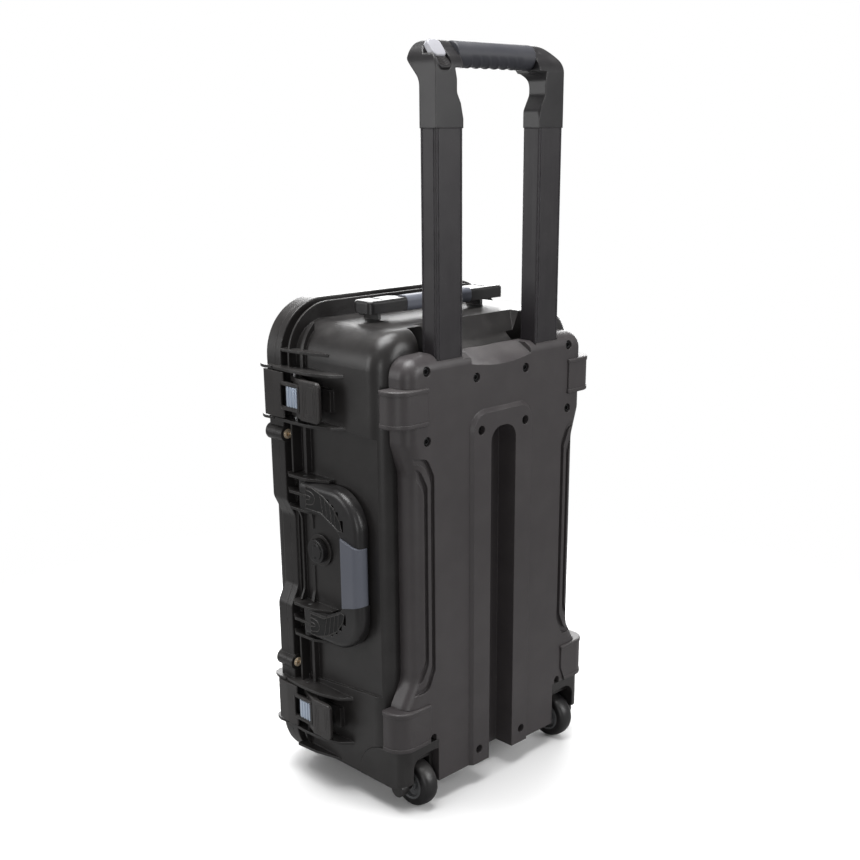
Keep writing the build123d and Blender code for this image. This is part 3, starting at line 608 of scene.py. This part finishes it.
def slab(width: float, length: float, thick: float, corner: float, edge: float) -> bmesh.types.BMesh:
    """Model an oblong plate with rounded corners and a rounded top edge, standing on z 0.

    Args:
        width: Size along x.
        length: Size along y.
        thick: Size along z.
        corner: Corner radius seen from above.
        edge: Radius of the top edge.

    Returns:
        The plate as a bmesh.
    """
    plate = bmesh.new()
    bmesh.ops.create_grid(plate, x_segments=1, y_segments=1, size=0.5)
    bmesh.ops.scale(plate, vec=(width, length, 1.0), verts=plate.verts)
    bmesh.ops.bevel(plate, geom=plate.verts[:], offset=corner, affect="VERTICES", segments=8,
                    profile=0.5, material=-1)
    raised = bmesh.ops.extrude_face_region(plate, geom=plate.faces[:])["geom"]
    top = [part for part in raised if isinstance(part, bmesh.types.BMVert)]
    bmesh.ops.translate(plate, vec=(0.0, 0.0, thick), verts=top)
    rim = [line for line in plate.edges if all(abs(v.co.z - thick) < 1e-7 for v in line.verts)]
    bmesh.ops.bevel(plate, geom=rim, offset=edge, affect="EDGES", segments=4, profile=0.5,
                    material=-1)
    return plate


def frame_ring(width: float, length: float, thick: float, corner: float,
               band: float) -> bmesh.types.BMesh:
    """Model a flat oblong ring, such as a raised contour line.

    Args:
        width: Outer size along x.
        length: Outer size along y.
        thick: Size along z.
        corner: Outer corner radius.
        band: Width of the ring's own band.

    Returns:
        The ring as a bmesh.
    """
    ring = bmesh.new()
    bmesh.ops.create_grid(ring, x_segments=1, y_segments=1, size=0.5)
    bmesh.ops.scale(ring, vec=(width, length, 1.0), verts=ring.verts)
    bmesh.ops.bevel(ring, geom=ring.verts[:], offset=corner, affect="VERTICES", segments=6,
                    profile=0.5, material=-1)
    centre = ring.faces[:]
    bmesh.ops.inset_region(ring, faces=centre, thickness=band, use_boundary=True,
                           use_even_offset=True)
    bmesh.ops.delete(ring, geom=centre, context="FACES")
    thicken(ring, thick)
    return ring


def thicken(flat: bmesh.types.BMesh, thick: float) -> None:
    """Give a flat outline its thickness and stand it on z 0.

    Args:
        flat: A bmesh of flat faces.
        thick: Its thickness.
    """
    bmesh.ops.solidify(flat, geom=flat.faces[:], thickness=thick)
    lowest = min(vert.co.z for vert in flat.verts)
    bmesh.ops.translate(flat, verts=flat.verts, vec=(0.0, 0.0, -lowest))


def lathe(outline: Sequence[tuple[float, float]], steps: int = 64) -> bmesh.types.BMesh:
    """Model a turned piece about the x axis.

    Args:
        outline: Points as (x along the axis, radius), from one end to the other.
        steps: Steps in the full turn.

    Returns:
        The turned piece as a bmesh.
    """
    turned = bmesh.new()
    line = [turned.verts.new((along, radius, 0.0)) for along, radius in outline]
    edges = [turned.edges.new(pair) for pair in zip(line, line[1:])]
    bmesh.ops.spin(turned, geom=line + edges, cent=(0.0, 0.0, 0.0), axis=(1.0, 0.0, 0.0),
                   angle=math.tau, steps=steps, use_merge=True)
    bmesh.ops.remove_doubles(turned, verts=turned.verts, dist=1e-6)
    return turned


def rail(points: Sequence[tuple[float, float]], radius: float,
         smooth: bool = True) -> bmesh.types.BMesh:
    """Model a round rib that follows a line on the x-y plane.

    Args:
        points: The line's points, in millimetres.
        radius: Radius of the rib.
        smooth: Whether the line rounds its corners.

    Returns:
        The rib as a bmesh.
    """
    curve = bpy.data.curves.new("rail", "CURVE")
    curve.dimensions = "3D"
    curve.bevel_depth = radius
    curve.bevel_resolution = 2
    curve.use_fill_caps = True
    line = curve.splines.new("NURBS" if smooth else "POLY")
    line.points.add(len(points) - 1)
    for point, (along, up) in zip(line.points, points):
        point.co = (along * MM, up * MM, 0.0, 1.0)
    if smooth:
        line.order_u = 3
        line.use_endpoint_u = True
        line.resolution_u = 6
    holder = bpy.data.objects.new("rail", curve)
    solid = bpy.data.meshes.new_from_object(holder)
    shape = bmesh.new()
    shape.from_mesh(solid)
    bpy.data.objects.remove(holder)
    bpy.data.meshes.remove(solid)
    bpy.data.curves.remove(curve)
    return shape


def axes(origin: Sequence[float], right: Sequence[float], out: Sequence[float]) -> Matrix:
    """Make the placing matrix of a plate that is modelled flat.

    Args:
        origin: Where the plate's own origin goes.
        right: Where its x axis points.
        out: Where its z axis points.

    Returns:
        The matrix.
    """
    x_axis = Vector(right).normalized()
    z_axis = Vector(out).normalized()
    turn = Matrix((x_axis, z_axis.cross(x_axis), z_axis)).transposed().to_4x4()
    return Matrix.Translation(origin) @ turn


def slice_of(node: str, low: float, high: float, grow: float) -> bmesh.types.BMesh:
    """Copy the part of a frame node between two heights, slightly swollen.

    Args:
        node: The frame node to copy.
        low: Lower height.
        high: Upper height.
        grow: How far its faces move outwards.

    Returns:
        The closed band as a bmesh.
    """
    band = bmesh.new()
    band.from_mesh(frame["nodes"][node].data)
    bmesh.ops.remove_doubles(band, verts=band.verts, dist=1e-6)
    for height, upwards in ((low, -1.0), (high, 1.0)):
        cut = bmesh.ops.bisect_plane(band, geom=band.verts[:] + band.edges[:] + band.faces[:],
                                     plane_co=(0.0, 0.0, height), plane_no=(0.0, 0.0, upwards),
                                     clear_outer=True)["geom_cut"]
        rim = [part for part in cut if isinstance(part, bmesh.types.BMEdge)]
        bmesh.ops.holes_fill(band, edges=rim)
    bmesh.ops.recalc_face_normals(band, faces=band.faces)
    band.normal_update()
    moves = [(vert, vert.normal.copy()) for vert in band.verts]
    for vert, normal in moves:
        vert.co += Vector((normal.x, normal.y, 0.0)) * grow
    return band


class Assembly:
    """What every sub-assembly shares: making objects, riding bodies and painting."""

    def __init__(self, palette: Palette) -> None:
        """Keep the palette.

        Args:
            palette: The finishes of the case.
        """
        self.palette = palette

    def piece(self, name: str, shape: bmesh.types.BMesh, body: str, slot: str,
              place: Matrix = Matrix.Identity(4)) -> bpy.types.Object:
        """Turn a bmesh into a finished piece on its body.

        Args:
            name: The piece's name.
            shape: Its bmesh, which is used up.
            body: The moving body that it rides on.
            slot: The finish it takes.
            place: Matrix from the modelled place to the case's axes.

        Returns:
            The new object.
        """
        shape.transform(place)
        bmesh.ops.recalc_face_normals(shape, faces=shape.faces)
        mesh = bpy.data.meshes.new(name)
        shape.to_mesh(mesh)
        shape.free()
        mesh.shade_smooth()
        mesh.set_sharp_from_angle(angle=SMOOTH_ANGLE)
        made = bpy.data.objects.new(name, mesh)
        bpy.context.scene.collection.objects.link(made)
        self.palette.paint(made, slot)
        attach(made, body)
        log.info("%s: %d faces on %s", name, len(mesh.polygons), body)
        return made


# --------------------------------------------------------------------------------------------
# Trolley head
# --------------------------------------------------------------------------------------------
@dataclass
class TrolleyGrip:
    """The padded round grip between the trolley arms, with slanted finger ridges below."""

    ridges: int = 6
    ridge_reach: float = 0.040
    ridge_height: float = 0.0009
    ridge_width: float = 0.13
    slant: float = 1.4
    sides: int = 72
    lengthwise: int = 150
    end_round: float = 0.0012

    def build(self, shop: Assembly) -> None:
        """Model the grip in place of its plain cylinder.

        Args:
            shop: Makes and paints the pieces.
        """
        low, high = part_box("trolley_grip")
        centre = (low + high) / 2
        radius = (high.z - low.z) / 2
        length = high.x - low.x
        shape = bmesh.new()
        bmesh.ops.create_cone(shape, cap_ends=True, segments=self.sides, radius1=radius,
                              radius2=radius, depth=length)
        bmesh.ops.rotate(shape, cent=(0.0, 0.0, 0.0), verts=shape.verts,
                         matrix=Matrix.Rotation(math.pi / 2, 3, "Y"))
        rims = [line for line in shape.edges if abs(line.verts[0].co.x - line.verts[1].co.x) < 1e-6]
        bmesh.ops.bevel(shape, geom=rims, offset=self.end_round, affect="EDGES", segments=3,
                        profile=0.5, material=-1)
        long_lines = [line for line in shape.edges
                      if abs(line.verts[0].co.x - line.verts[1].co.x) > length / 2]
        bmesh.ops.subdivide_edges(shape, edges=long_lines, cuts=self.lengthwise)
        for vert in shape.verts:
            self._sink(vert, radius)
        grip = shop.piece("trolley_grip_pad", shape, "trolley", "grip_slate",
                          Matrix.Translation(centre))
        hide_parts("trolley_grip")

    def _sink(self, vert: bmesh.types.BMVert, radius: float) -> None:
        """Press the finger hollows between slanted ridges into the lower half.

        Args:
            vert: A vertex of the grip.
            radius: The grip's radius.
        """
        downward = max(-vert.co.z / radius, 0.0)
        if abs(vert.co.x) > self.ridge_reach or downward == 0.0:
            return
        pitch = 2 * self.ridge_reach / self.ridges
        phase = ((vert.co.x + self.slant * (vert.co.z + radius) * 0.5) / pitch) % 1.0
        ridge = math.exp(-((phase - 0.5) / self.ridge_width) ** 2)
        ends = min((self.ridge_reach - abs(vert.co.x)) / (0.25 * pitch), 1.0)
        sink = self.ridge_height * min(downward * 1.6, 1.0) * (1.0 - ridge) * ends
        around = Vector((0.0, vert.co.y, vert.co.z)).normalized()
        vert.co -= around * sink


@dataclass
class ReleaseButton:
    """The trolley's release: a bright upper plate and a dark ribbed thumb pad below it."""

    centre: tuple[float, float, float] = (-82.5 * MM, -93.6 * MM, 804.0 * MM)
    out: tuple[float, float, float] = (0.0, -0.788, 0.616)
    width: float = 18.6 * MM
    thick: float = 6.0 * MM
    corner: float = 5.5 * MM
    plate_length: float = 19.5 * MM
    plate_shift: float = 6.4 * MM
    plate_depth: float = 5.2 * MM
    plate_edge: float = 1.6 * MM
    pad_length: float = 13.0 * MM
    pad_shift: float = -9.6 * MM
    pad_depth: float = 6.6 * MM
    pad_edge: float = 0.8 * MM
    chevrons: int = 4
    chevron_start: float = -12.8 * MM
    chevron_pitch: float = 2.4 * MM
    chevron_size: tuple[float, float, float] = (6.6 * MM, 0.9 * MM, 0.7 * MM)
    chevron_turn: float = math.radians(28)
    chevron_offset: float = 3.3 * MM
    chevron_depth: float = 0.75 * MM

    def build(self, shop: Assembly) -> None:
        """Model the plate, the pad and the pad's chevron ribs.

        Args:
            shop: Makes and paints the pieces.
        """
        plate = slab(self.width, self.plate_length, self.thick, self.corner, self.plate_edge)
        made = shop.piece("release_plate", plate, "button", "button_grey",
                          self._at(self.plate_shift, -self.plate_depth))
        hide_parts("release_button")
        pad = slab(self.width, self.pad_length, self.thick, self.corner, self.pad_edge)
        shop.piece("release_pad", pad, "button", "arm_black",
                   self._at(self.pad_shift, -self.pad_depth))
        for index in range(self.chevrons):
            along = self.chevron_start + index * self.chevron_pitch
            for side, turn in (("left", -1), ("right", 1)):
                shop.piece("release_rib_%d_%s" % (index + 1, side), self._chevron_arm(turn),
                           "button", "latch_black", self._at(along, -self.chevron_depth))

    def _chevron_arm(self, turn: int) -> bmesh.types.BMesh:
        """Model one arm of a chevron.

        Args:
            turn: -1 for the left arm and 1 for the right one.

        Returns:
            The rib as a bmesh.
        """
        width = self.chevron_size[1]
        rib = slab(*self.chevron_size, 0.45 * width, 0.28 * width)
        bmesh.ops.rotate(rib, cent=(0.0, 0.0, 0.0), verts=rib.verts,
                         matrix=Matrix.Rotation(turn * self.chevron_turn, 3, "Z"))
        bmesh.ops.translate(rib, verts=rib.verts, vec=(turn * self.chevron_offset, 0.0, 0.0))
        return rib

    def _at(self, along: float, lift: float) -> Matrix:
        """Place a plate on the sloping face.

        Args:
            along: Shift up the slope.
            lift: Height off the face.

        Returns:
            The placing matrix.
        """
        out = Vector(self.out)
        right = Vector((1.0, 0.0, 0.0))
        up = out.cross(right)
        return axes(Vector(self.centre) + up * along + out * lift, right, out)


# --------------------------------------------------------------------------------------------
# Wheels
# --------------------------------------------------------------------------------------------
@dataclass
class Wheel:
    """A soft tyre with a bright rim ring on each side of its hub."""

    side: str
    bore: float = 18.02 * MM
    crown: float = 6.5 * MM
    crown_power: float = 0.62
    crown_steps: int = 12
    turn_steps: int = 96
    ring_radius: float = 19.3 * MM
    ring_inset: float = 0.9 * MM
    ring_proud: float = 0.63 * MM
    ring_root: float = 0.6 * MM
    ring_section: tuple[float, ...] = (-1.5 * MM, -1.3 * MM, -0.5 * MM, 0.3 * MM, 0.8 * MM, 0.9 * MM)

    def build(self, shop: Assembly) -> None:
        """Model the tyre and the rim rings.

        Args:
            shop: Makes and paints the pieces.
        """
        body = "wheel_l" if self.side == "left" else "wheel_r"
        low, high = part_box("tyre_" + self.side)
        half = (high.x - low.x) / 2
        place = Matrix.Translation((low + high) / 2)
        tyre = shop.piece("tyre_tread_" + self.side, self._tyre(half, (high.z - low.z) / 2),
                          body, "tyre_black", place)
        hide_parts("tyre_" + self.side)
        for face, sign in (("inner", 1), ("outer", -1)):
            shop.piece("rim_ring_%s_%s" % (self.side, face), self._ring(half, sign), body,
                       "steel", place)

    def _tyre(self, half: float, radius: float) -> bmesh.types.BMesh:
        """Model the tyre: a crowned tread, round shoulders and flat side walls.

        Args:
            half: Half the tyre's width.
            radius: Its rolling radius.

        Returns:
            The tyre as a bmesh.
        """
        wall = radius - self.crown
        outline = [(-half, self.bore), (-half, wall)]
        for step in range(1, self.crown_steps):
            angle = math.pi * step / self.crown_steps
            outline.append((-half * math.cos(angle),
                            wall + self.crown * math.sin(angle) ** self.crown_power))
        outline += [(half, wall), (half, self.bore), (-half, self.bore)]
        return lathe(outline, self.turn_steps)

    def _ring(self, half: float, sign: int) -> bmesh.types.BMesh:
        """Model one rim ring.

        Args:
            half: Half the tyre's width.
            sign: 1 for the ring on +x and -1 for the one on -x.

        Returns:
            The ring as a bmesh.
        """
        edge = half - self.ring_inset
        root = edge - self.ring_root
        proud = edge + self.ring_proud
        across = (root, edge, proud, proud, edge, root)
        outline = [(sign * x, self.ring_radius + r) for x, r in zip(across, self.ring_section)]
        return lathe(outline + outline[:1])


# --------------------------------------------------------------------------------------------
# Latches, valve, handles, eyelets and corner guards
# --------------------------------------------------------------------------------------------
@dataclass
class LatchFace:
    """Fine contour lines on a latch lever and bright ribs on its lock slide."""

    level: str
    tab: float = 29.0 * MM
    tab_start: float = 0.5 * MM
    contours: int = 3
    margin: float = 3.0 * MM
    spacing: float = 2.6 * MM
    corner: float = 6.0 * MM
    line: float = 0.55 * MM
    relief: float = 0.30 * MM
    ribs: int = 4
    rib_start: float = 3.0 * MM
    rib_pitch: float = 4.6 * MM
    rib_width: float = 2.2 * MM
    rib_thick: float = 1.3 * MM
    rib_depth: float = 0.5 * MM
    rib_trim: float = 2.4 * MM

    def build(self, shop: Assembly) -> None:
        """Model the lever's contour lines and the slide's ribs.

        Args:
            shop: Makes and paints the pieces.
        """
        low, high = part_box(self.level + "_latch_lever")
        middle = (low.z + high.z) / 2
        centre = Vector((low.x + self.relief * 0.5, low.y + self.tab / 2 + self.tab_start, middle))
        for index in range(self.contours):
            trim = 2 * (self.margin + index * self.spacing)
            ring = frame_ring(self.tab - trim, high.z - low.z - trim, self.relief,
                              self.corner - index * MM, self.line)
            shop.piece("%s_lever_line_%d" % (self.level, index + 1), ring,
                       "lever_" + self.level, "latch_black",
                       axes(centre, (0.0, 1.0, 0.0), LEFTWARDS))
        low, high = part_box(self.level + "_lock_slide")
        for index in range(self.ribs):
            along = low.y + self.rib_start + self.rib_pitch * index
            rib = slab(self.rib_width, high.z - low.z - self.rib_trim, self.rib_thick,
                       0.9 * MM, 0.5 * MM)
            shop.piece("%s_slide_rib_%d" % (self.level, index + 1), rib,
                       "slide_" + self.level, "lock_silver",
                       axes((low.x + self.rib_depth, along, middle), (0.0, 1.0, 0.0), LEFTWARDS))


@dataclass
class ClawFrame:
    """Nested frames round the window of a latch claw, through which the lock slide shows."""

    level: str
    window_middle: float = 45.6 * MM
    outer: tuple[float, float] = (33.4 * MM, 30.4 * MM)
    step: float = 3.0 * MM
    band: float = 1.1 * MM
    relief: float = 0.7 * MM
    frames: int = 2

    def build(self, shop: Assembly) -> None:
        """Model the frames on the claw's outer face.

        Args:
            shop: Makes and paints the pieces.
        """
        low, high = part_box(self.level + "_latch_claw")
        centre = (low.x + 0.25 * MM, self.window_middle, (low.z + high.z) / 2)
        for index in range(self.frames):
            trim = index * self.step
            ring = frame_ring(self.outer[0] - trim, self.outer[1] - trim, self.relief,
                              4.0 * MM - index * MM, self.band)
            shop.piece("%s_claw_frame_%d" % (self.level, index + 1), ring,
                       "claw_" + self.level, "latch_black",
                       axes(centre, (0.0, 1.0, 0.0), LEFTWARDS))


@dataclass
class SideHandleRibs:
    """The moulded ribs at the roots of the side handle's two arms, with thin dark plates that paint
    the shade of the hollows there.
    """

    lift: float = 0.25 * MM
    rib: float = 0.75 * MM
    hollow_shade_outline: tuple[tuple[float, float], ...] = (
        (32, 87), (20, 87), (2, 81), (-14, 71), (-24, 58), (-27, 48), (-22, 47.5), (-6, 55.5),
        (8, 62.2), (32, 62.2))
    hooks: tuple[tuple[tuple[float, float], ...], ...] = (
        ((32, 83), (25, 83), (18, 80), (16, 75), (19, 69), (26, 67), (32, 67)),
        ((32, 77.5), (27, 77.5), (23, 75), (27, 72.5), (32, 72.5)))
    bars: tuple[tuple[tuple[float, float], ...], ...] = (
        ((8, 82.5), (3, 60.5)), ((0, 80), (-4, 57)), ((-8, 75), (-11, 53.5)),
        ((-16, 69), (-17, 50.5)))

    def build(self, shop: Assembly) -> None:
        """Model the hollows as thin dark plates of painted shade, their rims, the hook ribs and the
        cross bars of both arms.

        Args:
            shop: Makes and paints the pieces.
        """
        low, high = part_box("side_handle_frame")
        middle = (low.z + high.z) / 2
        for name, sign in (("upper", 1), ("lower", -1)):
            place = Matrix(((0, 0, -1, low.x), (1, 0, 0, 0), (0, sign, 0, middle), (0, 0, 0, 1)))
            # The hollows are not cut: a thin dark plate in each outline paints their shade.
            shape = bmesh.new()
            loop = [shape.verts.new((along * MM, up * MM, 0.0)) for along, up in self.hollow_shade_outline]
            shape.faces.new(loop)
            bmesh.ops.bevel(shape, geom=shape.verts[:], offset=2.5 * MM, affect="VERTICES",
                            segments=4, profile=0.5, material=-1)
            thicken(shape, self.lift)
            shop.piece("handle_painted_shade_" + name, shape, "side_handle", "foot_rubber", place)
            lines = [self.hollow_shade_outline + self.hollow_shade_outline[:1], *self.hooks, *self.bars]
            for index, line in enumerate(lines):
                shop.piece("handle_rib_%s_%d" % (name, index + 1),
                           rail(line, self.rib, smooth=line in self.hooks),
                           "side_handle", "latch_black", place)


@dataclass
class PressureValve:
    """The valve's round knob with a raised D-shaped face, and two thin dark plates that paint the
    shade of its driver sockets.
    """

    face_radius: float = 10.4 * MM
    flat_at: float = -3.2 * MM
    socket_shade_size: tuple[float, float] = (2.2 * MM, 3.6 * MM)
    socket_reach: float = 7.4 * MM

    def build(self, shop: Assembly) -> None:
        """Model the knob in place of its plain disc.

        Args:
            shop: Makes and paints the pieces.
        """
        low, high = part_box("valve_knob")
        centre = (low + high) / 2
        radius = (high.z - low.z) / 2
        deep = high.x - low.x
        rim = lathe([(deep, 0.0), (deep, radius - 1.0 * MM), (deep - 1.2 * MM, radius),
                     (2.6 * MM, radius), (1.5 * MM, radius - 0.5 * MM), (1.1 * MM, radius - 1.6 * MM),
                     (1.3 * MM, radius - 2.6 * MM), (1.3 * MM, 0.0)])
        start = Vector((low.x, centre.y, centre.z))
        knob = shop.piece("valve_knob_rim", rim, "valve", "handle_black",
                          Matrix.Translation(start))
        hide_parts("valve_knob")
        face = bmesh.new()
        bmesh.ops.create_cone(face, cap_ends=True, segments=64, radius1=self.face_radius,
                              radius2=self.face_radius - 0.5 * MM, depth=1.2 * MM)
        cut = bmesh.ops.bisect_plane(face, geom=face.verts[:] + face.edges[:] + face.faces[:],
                                     plane_co=(self.flat_at, 0.0, 0.0), plane_no=(-1.0, 0.0, 0.0),
                                     clear_outer=True)["geom_cut"]
        edge = [part for part in cut if isinstance(part, bmesh.types.BMEdge)]
        bmesh.ops.holes_fill(face, edges=edge)
        shop.piece("valve_face", face, "valve", "handle_black",
                   axes(start + Vector((0.9 * MM, 0.0, 0.0)), (0.0, -1.0, 0.0), LEFTWARDS))
        for name, sign in (("upper", 1), ("lower", -1)):
            # The sockets are not cut: a thin dark plate on the face paints the shade of each.
            socket = slab(*self.socket_shade_size, 0.3 * MM, 0.3 * MM, 0.1 * MM)
            shop.piece("valve_socket_shade_" + name, socket, "valve", "foot_rubber",
                       axes(start + Vector((0.42 * MM, -0.6 * MM, sign * self.socket_reach)),
                            (0.0, 0.0, 1.0), LEFTWARDS))


@dataclass
class Eyelets:
    """Brass collars pressed into the padlock eyes."""

    collar: float = 4.6 * MM
    hole: float = 2.9 * MM
    proud: float = 1.0 * MM

    def build(self, shop: Assembly) -> None:
        """Model one six-sided collar at each eye, on the side that faces the panel.

        Args:
            shop: Makes and paints the pieces.
        """
        low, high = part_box("base_eyelets")
        across = (low.x + high.x) / 2
        half = (high.x - low.x) / 2
        for name, level in (("lower", low.z + half), ("upper", high.z - half)):
            ring = bmesh.new()
            bmesh.ops.create_circle(ring, cap_ends=True, segments=6, radius=self.collar)
            centre = ring.faces[:]
            bmesh.ops.inset_region(ring, faces=centre, thickness=self.collar - self.hole,
                                   use_boundary=True, use_even_offset=True)
            bmesh.ops.delete(ring, geom=centre, context="FACES")
            thicken(ring, self.proud)
            bmesh.ops.bevel(ring, geom=ring.edges[:], offset=0.22 * MM, affect="EDGES",
                            segments=2, profile=0.5, material=-1)
            shop.piece("eyelet_collar_" + name, ring, "case", "eyelet_brass",
                       axes((across, low.y, level), (1.0, 0.0, 0.0), (0.0, -1.0, 0.0)))


@dataclass
class CornerGuards:
    """Raised bands round the rear panel's four bumpers."""

    grow: float = 0.9 * MM
    band: float = 5.0 * MM
    margin: float = 0.3 * MM

    def build(self, shop: Assembly) -> None:
        """Model a band at each bumper's top and bottom edge.

        Args:
            shop: Makes and paints the pieces.
        """
        for level in ("upper", "lower"):
            for side in ("left", "right"):
                node = "%s_bumper_%s" % (level, side)
                low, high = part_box(node)
                for name, start, end in (("top", high.z - self.band, high.z - self.margin),
                                         ("base", low.z + self.margin, low.z + self.band)):
                    shop.piece("%s_%s_band" % (node, name), slice_of(node, start, end, self.grow),
                               "case", shop.palette.slot_of[node])


def main() -> None:
    """Build the studio and the case, one sub-assembly after another."""
    logging.basicConfig(level=logging.INFO, format="%(message)s")
    Studio().build()
    palette = Palette()
    palette.paint_frame()
    log.info("painted %d frame nodes", len(frame["nodes"]))
    shop = Assembly(palette)
    for assembly in (TrolleyGrip(), ReleaseButton(), Wheel("left"), Wheel("right"),
                     LatchFace("upper"), LatchFace("lower"), ClawFrame("upper"),
                     ClawFrame("lower"), SideHandleRibs(), PressureValve(), Eyelets(),
                     CornerGuards()):
        assembly.build(shop)


if __name__ == "__main__":
    main()
